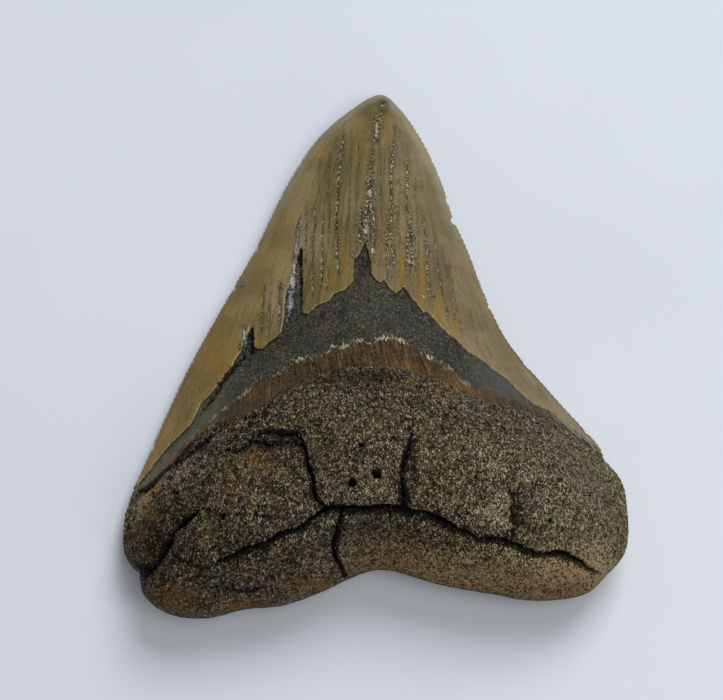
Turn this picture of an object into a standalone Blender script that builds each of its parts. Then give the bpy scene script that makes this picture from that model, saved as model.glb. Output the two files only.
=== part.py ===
"""Fossil megalodon tooth, lying on its labial face with the lingual face up.

Metres, +Z up. +Y runs along the crown to its tip and +X to the right of someone who
looks from the root to the tip. z = 0 is the surface that the tooth rests on, and the
origin lies on it, under the middle of the tooth. Sizes below are in millimetres.
"""
import math

import bmesh
import bpy
import numpy as np
from mathutils import Matrix, Vector, noise
from mathutils.bvhtree import BVHTree

MM = 0.001

# The outline seen square from above, as (x, y) points from the tip down the right side,
# round the two root lobes and back up the left side.
OUTLINE = [
    (1.5, 63.0), (6.0, 59.0), (11.0, 51.0), (15.5, 39.5), (17.5, 32.0), (20.5, 24.0),
    (24.0, 13.0), (28.5, 1.5), (33.5, -6.0), (41.5, -16.5), (47.0, -23.5), (49.5, -28.0),
    (52.0, -33.0), (52.5, -39.5), (52.0, -46.0), (50.5, -50.5), (47.0, -54.5),
    (43.5, -58.0), (38.0, -59.5), (30.0, -59.5), (22.0, -58.0), (14.0, -56.5),
    (6.0, -54.0), (0.5, -53.0), (-6.5, -55.5), (-10.5, -57.5), (-18.5, -60.5),
    (-26.5, -61.5), (-34.5, -63.5), (-42.5, -62.5), (-47.0, -59.0), (-48.5, -54.5),
    (-51.5, -50.0), (-52.5, -45.0), (-52.0, -37.0), (-49.5, -30.0), (-46.0, -20.0),
    (-40.5, -5.5), (-33.5, 9.5), (-26.5, 24.0), (-20.0, 39.5), (-13.5, 51.0), (-6.0, 58.5),
]

# Heights, as (place, height) knots of smooth curves.
CROWN_HEIGHT = [(-40, 14), (-10, 13.5), (10, 12), (30, 9.3), (45, 6.2), (55, 3.2), (63, 0)]
ROOT_HEIGHT = [(-64, 17), (-50, 19), (-38, 19.5), (-28, 18), (-15, 15), (-5, 12.5), (5, 11)]
NECK_LINE = [(-52, -38), (-44, -28), (-36, -18), (-28, -10), (-15, -2), (0, 2), (12, -1),
             (24, -9), (36, -18), (46, -28), (52, -33)]
RIM_HEIGHT = [(-60, 8.5), (-20, 8.5), (-6, 5.0), (6, 3.5), (60, 3.5)]
TIP_LIFT = 0.8
TIP_SPAN = (45.0, 62.0)
CUTTING_MARGIN = 1.2
ROOT_ROUNDING = 13.0
ROOT_SIDE_DROP = 0.46
ROOT_HALF_WIDTH = 50.0
NECK_ABOVE = 4.0
NECK_BELOW = -22.0

# The labial face bellies down to one flat, a rectangle, on which the tooth rests.
FLAT_CENTRE = (0.0, -30.0)
FLAT_HALF = (30.0, 16.0)
FLAT_REACH = 30.0
LABIAL_LIFT = 2.4
LABIAL_ROUND_CROWN = 9.0
LABIAL_ROUND_ROOT = 7.0

# Broad swellings of the root, as (x, y, half width, half length, height).
SWELLINGS = [
    (-27.0, -44.0, 16.0, 9.0, 0.9),
    (-46.0, -40.0, 6.0, 8.0, 0.8),
    (22.0, -40.0, 18.0, 10.0, 0.5),
    (5.0, -24.0, 12.0, 6.0, -0.6),
]
UNEVEN_SIZE = 13.0
UNEVEN_HEIGHT = 0.35

# Mesh density: the step between the outline's samples, how many samples one edge of the
# rim spans, the rings inside the rim, and the lattices that fill the two faces.
SPAN_SAMPLES = 24
CURVE_STEP = 0.5
RIM_STRIDE = 6
RIM_INSETS = [0.3, 0.9, 2.0, 3.6]
UPPER_LATTICE = 2.5
LOWER_LATTICE = 4.4
ON_RIM = 0.001
SAME_PLACE = 0.01
LEVEL = 1e-6
FLAT_ANGLE = 0.001
HEART_LOW = (0.0, -24.0)
HEART_HIGH = (1.0, 50.0)

# Cracks, edges and pits are drawn on a sketch plane that leans back from the root, as
# (across, along) points, and are dropped square from it on to the tooth.
SKETCH_TILT = math.radians(65)
SKETCH_DISTANCE = 200.0
BESIDE_RIM = 6.0
BESIDE_TRIES = 3
SKETCH_STEP = 0.3
CUT_STEP = 2.4
PROUD = 1.8
END_TAPER = 5.0
WALL_SHARE = 0.35
LIP_ABOVE = 0.6
LEDGE_FALL = 0.6

ENAMEL_EDGE = [
    (-48.0, -26.0), (-46.0, -23.0), (-43.0, -19.0), (-39.0, -14.5), (-36.5, -11.0),
    (-32.0, -5.5), (-28.0, -0.5), (-23.0, 1.0), (-19.5, 4.0), (-13.5, 8.5), (-8.0, 12.5),
    (-5.0, 15.0), (0.0, 15.0), (5.0, 12.5), (9.5, 9.0), (14.0, 5.0), (18.5, 1.5),
    (23.0, -2.0), (29.0, -7.0), (36.0, -12.5), (43.0, -17.5), (46.0, -19.5),
]
MAIN_CRACK = [
    (-34.0, -42.5), (-30.0, -41.5), (-22.5, -39.0), (-16.0, -35.5), (-9.0, -31.5),
    (-2.5, -31.0), (6.0, -32.0), (12.0, -34.0), (20.5, -36.5), (27.5, -39.0),
    (35.0, -40.5), (40.5, -41.5), (43.5, -43.0), (46.0, -46.0),
]
LOOP_CRACK = [
    (-31.0, -20.5), (-26.0, -18.5), (-23.0, -16.5), (-19.5, -16.5), (-15.5, -17.5),
    (-13.5, -22.5), (-12.5, -27.5), (-9.0, -31.0),
]
BASE_CRACK = [(-7.0, -31.5), (-7.5, -36.0), (-8.5, -40.0), (-7.5, -43.5), (-6.0, -48.5)]
LEFT_CRACK = [
    (-49.5, -47.0), (-46.0, -44.0), (-43.0, -40.0), (-41.0, -36.5), (-38.5, -33.5),
    (-34.5, -31.0),
]
SHOULDER_CRACK = [
    (-51.0, -30.5), (-47.0, -27.5), (-42.0, -24.0), (-38.5, -20.5), (-34.5, -18.0),
    (-29.0, -16.5), (-23.0, -12.5), (-19.0, -12.0),
]
MIDDLE_CRACK = [(7.5, -16.5), (6.0, -21.0), (5.5, -25.0), (5.0, -30.0)]
RIGHT_FURROW = [(28.5, -26.5), (27.5, -30.0), (28.0, -34.0), (26.5, -38.0)]
SLIT_LEFT = [(-27.0, -2.0), (-27.0, 4.5)]
SLIT_LONG = [(-18.0, 4.0), (-17.5, 10.0), (-16.5, 16.0), (-16.5, 22.0)]
SLIT_MIDDLE = [(-2.5, 13.0), (-2.5, 18.0), (-2.5, 23.0)]

# Nutrient holes and pits, as (across, along, diameter, depth).
HOLES = [(0.0, -24.0, 2.2, 4.0), (-5.0, -26.0, 1.8, 3.5), (-30.0, -33.0, 1.4, 1.5)]
HOLE_SIDES = 8
HOLE_TAPER = 0.6

FOSSIL_COLOUR = (0.155, 0.118, 0.068, 1.0)
FOSSIL_ROUGHNESS = 0.6
SHARP_ANGLE = math.radians(40)


def clear_scene():
    """Remove every object that the open file holds."""
    for item in list(bpy.data.objects):
        bpy.data.objects.remove(item, do_unlink=True)


def smooth_curve(points, closed, step):
    """Points at an even step along a rounded curve through the given points."""
    knots = np.array(points, float)
    if closed:
        knots = np.vstack([knots[-1], knots, knots[:2]])
    else:
        knots = np.vstack([2 * knots[0] - knots[1], knots, 2 * knots[-1] - knots[-2]])
    pieces = []
    for p0, p1, p2, p3 in zip(knots, knots[1:], knots[2:], knots[3:]):
        t1 = math.sqrt(np.linalg.norm(p1 - p0))
        t2 = t1 + math.sqrt(np.linalg.norm(p2 - p1))
        t3 = t2 + math.sqrt(np.linalg.norm(p3 - p2))
        t = np.linspace(t1, t2, SPAN_SAMPLES, endpoint=False)[:, None]
        a1 = p0 + (p1 - p0) * t / t1
        a2 = p1 + (p2 - p1) * (t - t1) / (t2 - t1)
        a3 = p2 + (p3 - p2) * (t - t2) / (t3 - t2)
        b1 = a1 + (a2 - a1) * t / t2
        b2 = a2 + (a3 - a2) * (t - t1) / (t3 - t1)
        pieces.append(b1 + (b2 - b1) * (t - t1) / (t2 - t1))
    pieces.append(knots[-2][None])
    fine = np.vstack(pieces)
    run = np.concatenate([[0.0], np.cumsum(np.linalg.norm(np.diff(fine, axis=0), axis=1))])
    count = max(2, round(run[-1] / step))
    at = np.arange(count if closed else count + 1) * run[-1] / count
    return np.stack([np.interp(at, run, fine[:, 0]), np.interp(at, run, fine[:, 1])], axis=1)


def knot_curve(at, knots):
    """Height of a smooth curve through (place, height) knots, level past both ends."""
    place, value = np.array(knots, float).T
    slope = np.gradient(value, place)
    at = np.clip(at, place[0], place[-1])
    low = np.clip(np.searchsorted(place, at) - 1, 0, len(place) - 2)
    span = place[low + 1] - place[low]
    t = (at - place[low]) / span
    start = (1 + 2 * t) * (1 - t) ** 2 * value[low] + t * (1 - t) ** 2 * span * slope[low]
    end = t * t * (3 - 2 * t) * value[low + 1] + t * t * (t - 1) * span * slope[low + 1]
    return start + end


def ease(low, high, at):
    """0 before low, 1 after high and a soft step between; low may be the larger."""
    t = np.clip((at - low) / (high - low), 0.0, 1.0)
    return t * t * (3 - 2 * t)


def depth_inside(places, loop):
    """Distance of each place from the outline, negative outside it."""
    ends = np.roll(loop, -1, axis=0)
    along = ends - loop
    gap = places[:, None] - loop
    t = np.clip((gap * along).sum(axis=2) / (along ** 2).sum(axis=1), 0.0, 1.0)
    distance = np.sqrt(((gap - t[..., None] * along) ** 2).sum(axis=2).min(axis=1))
    crosses = (loop[:, 1] > places[:, None, 1]) != (ends[:, 1] > places[:, None, 1])
    rise = np.where(along[:, 1] == 0.0, 1.0, along[:, 1])
    x_there = loop[:, 0] + along[:, 0] * (places[:, None, 1] - loop[:, 1]) / rise
    inside = (crosses & (places[:, None, 0] < x_there)).sum(axis=1) % 2 == 1
    return np.where(inside, distance, -distance)


def rim_inset(places, loop):
    """Distance in from the rim, where places on the rim itself count as exactly 0."""
    return np.clip(depth_inside(places, loop) - ON_RIM, 0.0, None)


def crown_sides(loop):
    """The left and right edges of the crown as curves of x against y."""
    tip = int(np.argmax(loop[:, 1]))
    turned = np.roll(loop, -tip, axis=0)
    low_right = int(np.argmax(turned[:, 0]))
    low_left = int(np.argmin(turned[:, 0]))
    right = turned[:low_right + 1][::-1]
    left = np.vstack([turned[low_left:], turned[:1]])
    return left, right


def rim_height(places):
    """Height of the edge between the lingual and the labial face."""
    below_neck = places[:, 1] - knot_curve(places[:, 0], NECK_LINE)
    return knot_curve(below_neck, RIM_HEIGHT) + TIP_LIFT * ease(*TIP_SPAN, places[:, 1])


def root_share(places):
    """0 on the crown, 1 on the root, and a soft change across the neck."""
    below_neck = places[:, 1] - knot_curve(places[:, 0], NECK_LINE)
    return ease(NECK_ABOVE, NECK_BELOW, below_neck)


def swelling(places):
    """Broad lumps and hollows of the root, and its slight unevenness."""
    total = np.zeros(len(places))
    for x, y, half_x, half_y, height in SWELLINGS:
        reach = ((places[:, 0] - x) / half_x) ** 2 + ((places[:, 1] - y) / half_y) ** 2
        total += height * np.exp(-reach)
    rough = [noise.noise(Vector((x / UNEVEN_SIZE, y / UNEVEN_SIZE, 0.3))) for x, y in places]
    return total + UNEVEN_HEIGHT * np.array(rough)


def lingual_height(places, loop):
    """The upper face: an arched crown with sharp edges, which swells into the root."""
    inset = rim_inset(places, loop)
    left, right = crown_sides(loop)
    edge_left = np.interp(places[:, 1], left[:, 1], left[:, 0])
    edge_right = np.interp(places[:, 1], right[:, 1], right[:, 0])
    half = np.maximum((edge_right - edge_left) / 2, 0.01)
    from_middle = np.clip(np.abs(places[:, 0] - (edge_left + edge_right) / 2) / half, 0.0, 1.0)
    crown = knot_curve(places[:, 1], CROWN_HEIGHT) * (1 - from_middle ** 2)
    crown = crown * ease(0.0, CUTTING_MARGIN, inset)
    falling = 1 - ROOT_SIDE_DROP * (places[:, 0] / ROOT_HALF_WIDTH) ** 2
    rounded = np.sqrt(1 - (1 - np.clip(inset / ROOT_ROUNDING, 0.0, 1.0)) ** 2)
    root = (knot_curve(places[:, 1], ROOT_HEIGHT) * falling + swelling(places)) * rounded
    share = root_share(places)
    return rim_height(places) + (1 - share) * crown + share * root


def labial_height(places, loop):
    """The lower face: nearly flat, and lifted a little away from the flat it rests on."""
    inset = rim_inset(places, loop)
    share = root_share(places)
    reach = (1 - share) * LABIAL_ROUND_CROWN + share * LABIAL_ROUND_ROOT
    s = np.clip(inset / reach, 0.0, 1.0)
    fall = (1 - share) * (1 - (1 - s) ** 2) + share * np.sqrt(1 - (1 - s) ** 2)
    past_flat = np.clip(np.abs(places - np.array(FLAT_CENTRE)) - np.array(FLAT_HALF), 0.0, None)
    lift = LABIAL_LIFT * ease(0.0, FLAT_REACH, np.hypot(past_flat[:, 0], past_flat[:, 1]))
    return lift + (rim_height(places) - lift) * (1 - fall)


def toward_heart(places):
    """Unit steps from each place towards the line down the middle of the tooth."""
    low = np.array(HEART_LOW)
    high = np.array(HEART_HIGH)
    line = high - low
    t = np.clip(((places - low) @ line) / (line @ line), 0.0, 1.0)
    step = low + t[:, None] * line - places
    return step / np.linalg.norm(step, axis=1)[:, None]


def add_ring(bm, places):
    """A closed loop of edges through the given places, flat on the plan."""
    ring = bmesh.ops.create_circle(bm, segments=len(places), radius=1.0)["verts"]
    for vert, (x, y) in zip(ring, places):
        vert.co = (x, y, 0.0)
    return list({edge for vert in ring for edge in vert.link_edges})


def add_lattice(bm, loop, cell):
    """A square lattice that fills the plan inside the innermost ring."""
    half = np.abs(loop).max()
    cells = round(2 * half / cell)
    lattice = bmesh.ops.create_grid(bm, x_segments=cells, y_segments=cells, size=half)["verts"]
    depth = depth_inside(np.array([vert.co.xy for vert in lattice]), loop)
    margin = RIM_INSETS[-1] + cell / 2
    outside = [vert for vert, inset in zip(lattice, depth) if inset < margin]
    bmesh.ops.delete(bm, geom=outside, context="VERTS")
    stray = [vert for vert in lattice if vert.is_valid and not vert.link_faces]
    bmesh.ops.delete(bm, geom=stray, context="VERTS")
    kept = {edge for vert in lattice if vert.is_valid for edge in vert.link_edges}
    wire = [edge for edge in kept if not edge.link_faces]
    bmesh.ops.delete(bm, geom=wire, context="EDGES")
    return [edge for edge in kept if edge.is_valid and edge.is_boundary]


def plan_sheet(bm, loop, cell):
    """The plan of the tooth as one flat sheet: rings along the rim, a lattice inside."""
    before = set(bm.verts)
    rim = loop[::RIM_STRIDE]
    inward = toward_heart(rim)
    rings = [add_ring(bm, rim)]
    for inset in RIM_INSETS:
        rings.append(add_ring(bm, rim + inward * inset))
    for outer, inner in zip(rings, rings[1:]):
        bmesh.ops.bridge_loops(bm, edges=outer + inner)
    border = add_lattice(bm, loop, cell)
    bmesh.ops.triangle_fill(bm, edges=rings[-1] + border, use_beauty=True, normal=(0, 0, 1))
    return [vert for vert in bm.verts if vert not in before]


def raise_sheet(verts, height_at, loop):
    """Lift a flat sheet's vertices to the heights of one face of the tooth."""
    heights = height_at(np.array([vert.co.xy for vert in verts]), loop)
    for vert, height in zip(verts, heights):
        vert.co.z = height


def tooth_body(loop):
    """The whole tooth before its cracks: two faces that meet along the rim."""
    bm = bmesh.new()
    raise_sheet(plan_sheet(bm, loop, UPPER_LATTICE), lingual_height, loop)
    raise_sheet(plan_sheet(bm, loop, LOWER_LATTICE), labial_height, loop)
    bmesh.ops.remove_doubles(bm, verts=bm.verts[:], dist=SAME_PLACE)
    bmesh.ops.recalc_face_normals(bm, faces=bm.faces[:])
    flat = [edge for edge in bm.edges if all(abs(vert.co.z) < LEVEL for vert in edge.verts)]
    bmesh.ops.dissolve_limit(bm, angle_limit=FLAT_ANGLE, verts=[], edges=flat)
    bmesh.ops.scale(bm, vec=(MM, MM, MM), verts=bm.verts[:])
    return bm


def drop_on(surface, across, along):
    """Where a sketch point lands on the tooth, and the surface's direction there.

    A point past the rim stays in the air beside it, at the height of the rim.
    """
    plane_up = Vector((0.0, math.sin(SKETCH_TILT), math.cos(SKETCH_TILT)))
    toward = Vector((0.0, math.cos(SKETCH_TILT), -math.sin(SKETCH_TILT)))
    start = Vector((across, 0.0, 0.0)) + plane_up * along - toward * SKETCH_DISTANCE
    spot, direction, _, _ = surface.ray_cast(start * MM, toward)
    if spot is None:
        level = BESIDE_RIM * MM
        for _ in range(BESIDE_TRIES):
            spot = start * MM + toward * (start.z * MM - level) / math.sin(SKETCH_TILT)
            nearest, direction, _, _ = surface.find_nearest(spot)
            level = nearest.z
    return spot, direction


def landed_path(surface, sketch):
    """A sketched line as points on the tooth, with the surface's direction at each.

    The points keep an even step along the tooth itself, also where its side is steep.
    """
    line = smooth_curve(sketch, False, SKETCH_STEP)
    fine = [drop_on(surface, across, along) for across, along in line]
    path = [fine[0]]
    for place in fine[1:-1]:
        ahead = (place[0] - path[-1][0]).length
        left_over = (fine[-1][0] - place[0]).length
        if ahead > CUT_STEP * MM and left_over > CUT_STEP / 2 * MM:
            path.append(place)
    return path + [fine[-1]]


def add_section(bm, spot, side, up, section, size):
    """One closed cross-section of a groove, standing on the surface."""
    verts = [bm.verts.new(spot + (side * a + up * b) * size * MM) for a, b in section]
    return [bm.edges.new((a, b)) for a, b in zip(verts, verts[1:] + verts[:1])]


def groove_cutter(name, surface, sketch, section, ends, rootward=False):
    """A solid that cuts a groove of the given section along a sketched line.

    Its sections stand square across the line, or all look towards the root.
    """
    path = landed_path(surface, sketch)
    bm = bmesh.new()
    loops = []
    for i, (spot, direction) in enumerate(path):
        ahead = path[min(i + 1, len(path) - 1)][0] - path[max(i - 1, 0)][0]
        side = Vector((0.0, -1.0, 0.0)) if rootward else ahead.cross(direction).normalized()
        up = direction if rootward else side.cross(ahead).normalized()
        t = i / (len(path) - 1)
        size = min(1.0, ends[0] + END_TAPER * t, ends[1] + END_TAPER * (1 - t))
        loops.append(add_section(bm, spot, side, up, section, size))
    for near, far in zip(loops, loops[1:]):
        bmesh.ops.bridge_loops(bm, edges=near + far)
    bmesh.ops.contextual_create(bm, geom=loops[0])
    bmesh.ops.contextual_create(bm, geom=loops[-1])
    bmesh.ops.recalc_face_normals(bm, faces=bm.faces[:])
    bmesh.ops.triangulate(bm, faces=bm.faces[:])
    return new_cutter(name, bm)


def hole_cutter(name, surface, across, along, diameter, depth):
    """A tapered plug that cuts one nutrient hole."""
    spot, direction = drop_on(surface, across, along)
    bm = bmesh.new()
    turn = direction.to_track_quat("Z", "Y").to_matrix().to_4x4()
    wide = diameter / 2
    bmesh.ops.create_cone(
        bm, cap_ends=True, segments=HOLE_SIDES, radius1=wide * HOLE_TAPER * MM, radius2=wide * MM,
        depth=(depth + PROUD) * MM,
        matrix=Matrix.Translation(spot - direction * (depth - PROUD) / 2 * MM) @ turn)
    return new_cutter(name, bm)


def new_cutter(name, bm):
    """A hidden wire object for a cutting solid."""
    item = new_object(name, bm)
    item.hide_render = True
    item.display_type = "WIRE"
    return item


def new_object(name, bm):
    """A scene object from a finished bmesh."""
    mesh = bpy.data.meshes.new(name)
    bm.to_mesh(mesh)
    bm.free()
    item = bpy.data.objects.new(name, mesh)
    bpy.context.scene.collection.objects.link(item)
    return item


def crack_section(width, depth, lip):
    """A V-shaped groove; a lip over 0 widens its lower side into a sunken ledge."""
    half = width / 2
    lower_wall = [(half, -WALL_SHARE * depth), (half + lip, LIP_ABOVE)]
    return [(-half, PROUD), (0.0, -depth)] + lower_wall + [(half + lip, PROUD)]


def ledge_section(width, depth):
    """A step down that runs out with distance: the enamel's broken lower edge."""
    return [(0.0, PROUD), (0.0, -depth), (width, -LEDGE_FALL * depth), (width, PROUD)]


def make_cutters(surface):
    """Every crack, step, slit and hole of the tooth as a cutting solid."""
    plans = [
        ("main_crack", MAIN_CRACK, crack_section(1.4, 2.6, 1.0), (0.4, 0.6)),
        ("loop_crack", LOOP_CRACK, crack_section(1.1, 2.0, 0.8), (0.5, 0.8)),
        ("base_crack", BASE_CRACK, crack_section(1.1, 1.8, 0.0), (0.8, 1.0)),
        ("left_crack", LEFT_CRACK, crack_section(2.6, 3.2, 0.0), (1.0, 0.3)),
        ("shoulder_crack", SHOULDER_CRACK, crack_section(1.0, 1.0, 1.0), (0.6, 0.4)),
        ("middle_crack", MIDDLE_CRACK, crack_section(1.6, 2.0, 0.6), (0.4, 0.6)),
        ("right_furrow", RIGHT_FURROW, crack_section(2.2, 1.2, 0.0), (0.4, 0.7)),
        ("slit_left", SLIT_LEFT, crack_section(1.6, 1.4, 0.0), (1.0, 0.2)),
        ("slit_long", SLIT_LONG, crack_section(2.4, 1.8, 0.0), (1.0, 0.2)),
        ("slit_middle", SLIT_MIDDLE, crack_section(3.0, 1.0, 0.0), (1.0, 0.2)),
    ]
    step = ledge_section(6.0, 0.8)
    cutters = [groove_cutter("enamel_step", surface, ENAMEL_EDGE, step, (0.4, 0.4), rootward=True)]
    for name, line, section, ends in plans:
        cutters.append(groove_cutter(name, surface, line, section, ends))
    for number, (across, along, diameter, depth) in enumerate(HOLES, start=1):
        cutters.append(hole_cutter(f"hole_{number}", surface, across, along, diameter, depth))
    return cutters


def fossil_material():
    """Mineralised tooth: dark brown, dense and nearly dull."""
    material = bpy.data.materials.new("fossil_tooth")
    material.use_nodes = True
    shader = material.node_tree.nodes["Principled BSDF"]
    shader.inputs["Base Color"].default_value = FOSSIL_COLOUR
    shader.inputs["Roughness"].default_value = FOSSIL_ROUGHNESS
    shader.inputs["Metallic"].default_value = 0.0
    return material


def main():
    clear_scene()
    loop = smooth_curve(OUTLINE, True, CURVE_STEP)
    bm = tooth_body(loop)
    surface = BVHTree.FromBMesh(bm)
    tooth = new_object("tooth", bm)
    tooth.data.materials.append(fossil_material())
    tooth.data.shade_smooth()
    tooth.data.set_sharp_from_angle(angle=SHARP_ANGLE)
    for cutter in make_cutters(surface):
        cut = tooth.modifiers.new(cutter.name, "BOOLEAN")
        cut.operation = "DIFFERENCE"
        cut.solver = "EXACT"
        cut.object = cutter


main()
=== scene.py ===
# %% [markdown]
# # A fossil megalodon tooth
# The object is one tooth of a giant shark, turned to stone. It lies on its flat labial face,
# and its lingual face, the one that faced the tongue, looks up. Three materials make it: a
# tan enamel crown, a dark band of bare dentine under it, and a coarse root of fossil bone.
# The whole tooth is modelled as a single closed skin, because it grew as one piece. Its
# form comes from a few curves, its relief from lines drawn on it, and its finish from
# patterns whose scales are real sizes. The tooth's own numbers are in millimetres, and MM
# turns them into the metres of the scene.

# %% Load the fixed frame
import math

import bmesh
import bpy
import numpy as np
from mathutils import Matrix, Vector, noise


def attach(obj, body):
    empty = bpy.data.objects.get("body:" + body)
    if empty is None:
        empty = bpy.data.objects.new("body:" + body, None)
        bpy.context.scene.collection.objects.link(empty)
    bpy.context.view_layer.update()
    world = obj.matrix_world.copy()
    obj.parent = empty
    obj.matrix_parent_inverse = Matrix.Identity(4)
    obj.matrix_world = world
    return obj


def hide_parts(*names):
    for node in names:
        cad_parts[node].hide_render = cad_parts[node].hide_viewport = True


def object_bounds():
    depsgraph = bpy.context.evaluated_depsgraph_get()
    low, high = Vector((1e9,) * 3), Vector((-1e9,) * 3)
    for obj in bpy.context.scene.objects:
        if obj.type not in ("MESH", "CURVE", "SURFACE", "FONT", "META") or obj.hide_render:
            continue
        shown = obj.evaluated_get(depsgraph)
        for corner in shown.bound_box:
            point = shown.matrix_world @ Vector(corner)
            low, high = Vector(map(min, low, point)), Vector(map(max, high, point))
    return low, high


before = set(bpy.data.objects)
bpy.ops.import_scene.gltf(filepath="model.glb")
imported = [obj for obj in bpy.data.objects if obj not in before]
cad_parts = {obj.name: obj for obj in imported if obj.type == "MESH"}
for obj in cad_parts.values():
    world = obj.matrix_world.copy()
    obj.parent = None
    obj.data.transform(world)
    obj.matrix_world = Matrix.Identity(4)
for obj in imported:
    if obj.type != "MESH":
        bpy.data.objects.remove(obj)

MM = 0.001
cad_low, cad_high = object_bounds()
print("CAD box in mm:", [round(side / MM, 1) for side in cad_high - cad_low])

# %% [markdown]
# ## Camera
# Small finds are usually recorded from above with a long lens, which keeps proportions
# true. The camera looks down at 65 degrees from the root's side, from 43 cm away.

# %% Camera
LENS = 97.3
SENSOR = 36.0
AIM = Vector((-3.0, 0.0, 0.0)) * MM
DISTANCE = 428 * MM
ELEVATION = math.radians(65)

camera = bpy.data.objects.new("camera", bpy.data.cameras.new("camera"))
camera.data.lens = LENS
camera.data.sensor_width = SENSOR
camera.data.clip_start = 10 * MM
camera.data.clip_end = 20.0
back = Vector((0.0, -math.cos(ELEVATION), math.sin(ELEVATION)))
camera.location = AIM + back * DISTANCE
camera.rotation_euler = (-back).to_track_quat("-Z", "Y").to_euler()
bpy.context.scene.collection.objects.link(camera)
bpy.context.scene.camera = camera
print("camera", [round(v, 3) for v in camera.location])

# %% [markdown]
# ## Light
# One wide window-like light stands beyond the tip, a little to the right, and gives the
# soft shadow under the root. A wider and weaker one hangs over the root's right side, so
# that the side that is turned away from the window can be read. A dim warm surrounding
# fills what neither reaches. The Standard view keeps the colours as they are mixed,
# without a film curve.

# %% Light
bpy.context.scene.view_settings.view_transform = "Standard"
bpy.context.scene.view_settings.look = "None"

# Each light: name, place and width in metres, power in watts, colour. It faces the origin.
LIGHTS = [
    ("window", (0.35, 0.62, 0.95), 0.7, 9.1, (0.97, 0.98, 1.0)),
    ("ceiling", (0.42, -0.5, 1.0), 1.0, 6.2, (1.0, 0.99, 0.97)),
]
for name, place, size, power, colour in LIGHTS:
    lamp = bpy.data.lights.new(name, "AREA")
    lamp.size = size
    lamp.energy = power
    lamp.color = colour
    holder = bpy.data.objects.new(name, lamp)
    holder.location = place
    holder.rotation_euler = Vector(place).to_track_quat("Z", "Y").to_euler()
    bpy.context.scene.collection.objects.link(holder)

ROOM_COLOUR = (1.0, 0.98, 0.96, 1.0)
ROOM_STRENGTH = 0.16

world = bpy.data.worlds.new("room")
bpy.context.scene.world = world
world.use_nodes = True
room_light = world.node_tree.nodes["Background"]
room_light.inputs["Color"].default_value = ROOM_COLOUR
room_light.inputs["Strength"].default_value = ROOM_STRENGTH
print("lights", [row[0] for row in LIGHTS])

# %% [markdown]
# ## Helpers for materials
# A colour is picked as an sRGB hex value, as in any paint program, but Blender's nodes mix
# linear light, so one function turns it. Another adds a node: its options, its inputs,
# either values or links, and for a colour ramp its stops. Inputs are called by name, or by
# number where a node has several of one name: 0, 1 and 2 are the values of a math node, and
# 0, 6 and 7 are the share and the two colours of a mix.

# %% Helpers for materials
def linear(hex_colour):
    """An sRGB hex value as the linear RGBA that nodes use."""
    parts = [int(hex_colour[i:i + 2], 16) / 255 for i in (1, 3, 5)]
    light = [c / 12.92 if c <= 0.04045 else ((c + 0.055) / 1.055) ** 2.4 for c in parts]
    return (*light, 1.0)


def add(tree, kind, inputs=None, stops=None, **options):
    """Adds one node with its options, its inputs' values or links, and a ramp's stops."""
    made = tree.nodes.new(kind)
    for option, value in options.items():
        setattr(made, option, value)
    for socket, value in (inputs or {}).items():
        if isinstance(value, bpy.types.NodeSocket):
            tree.links.new(value, made.inputs[socket])
        else:
            made.inputs[socket].default_value = value
    if stops:
        ramp = made.color_ramp.elements
        while len(ramp) < len(stops):
            ramp.new(1.0)
        for element, (place, colour) in zip(ramp, stops):
            element.position = place
            element.color = linear(colour)
    return made


def new_material(name):
    """An empty material with its shader: returns the material, its tree and the shader."""
    material = bpy.data.materials.new(name)
    material.use_nodes = True
    tree = material.node_tree
    return material, tree, tree.nodes["Principled BSDF"]


# %% [markdown]
# ## Floor
# The tooth lies on a plain pale sheet of paper. Paper is matt and a little uneven. Its
# fibres are far finer than this noise of 0.7 mm, which is drawn coarser than real so that
# the sheet doesn't look like plastic. The sheet lies a hair lower than the tooth's flat, so
# that the two surfaces aren't in one plane, where they would flicker.

# %% Floor
FIBRE_SIZE = 0.7 * MM
FIBRE_HEIGHT = 0.1 * MM
CLOUDS_A_METRE = 8.0
FLOOR_SIZE = 4.0
FLOOR_GAP = 0.03 * MM

floor_paper, tree, shader = new_material("matt_paper")
where = add(tree, "ShaderNodeTexCoord")
fibre = add(tree, "ShaderNodeTexNoise",
            {"Vector": where.outputs["Object"], "Scale": 1 / FIBRE_SIZE, "Detail": 3.0})
cloud = add(tree, "ShaderNodeTexNoise",
            {"Vector": where.outputs["Object"], "Scale": CLOUDS_A_METRE})
tint = add(tree, "ShaderNodeValToRGB", {"Fac": cloud.outputs["Fac"]},
           stops=[(0.3, "#d9dfe9"), (0.7, "#e0e6f0")])
tree.links.new(tint.outputs["Color"], shader.inputs["Base Color"])
press = add(tree, "ShaderNodeBump",
            {"Height": fibre.outputs["Fac"], "Strength": 0.25, "Distance": FIBRE_HEIGHT})
tree.links.new(press.outputs["Normal"], shader.inputs["Normal"])
shader.inputs["Roughness"].default_value = 0.85

bm = bmesh.new()
bmesh.ops.create_grid(bm, x_segments=2, y_segments=2, size=FLOOR_SIZE)
bmesh.ops.translate(bm, vec=(0.0, 0.0, -FLOOR_GAP), verts=bm.verts[:])
floor_mesh = bpy.data.meshes.new("floor")
bm.to_mesh(floor_mesh)
bm.free()
floor_mesh.materials.append(floor_paper)
floor = bpy.data.objects.new("floor", floor_mesh)
bpy.context.scene.collection.objects.link(floor)

# %% [markdown]
# ## The form in numbers
# A megalodon tooth is a broad blade on a thick two-lobed root. Seen from above it is one
# outline, drawn from the tip down the right side, round the two lobes and back. The height
# of its upper face follows a crown curve along its length, a neck line where crown turns
# to root, and a root curve. The lower face bellies down to one flat, on which the tooth
# rests. These are the same values as the solid tooth has.

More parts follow.
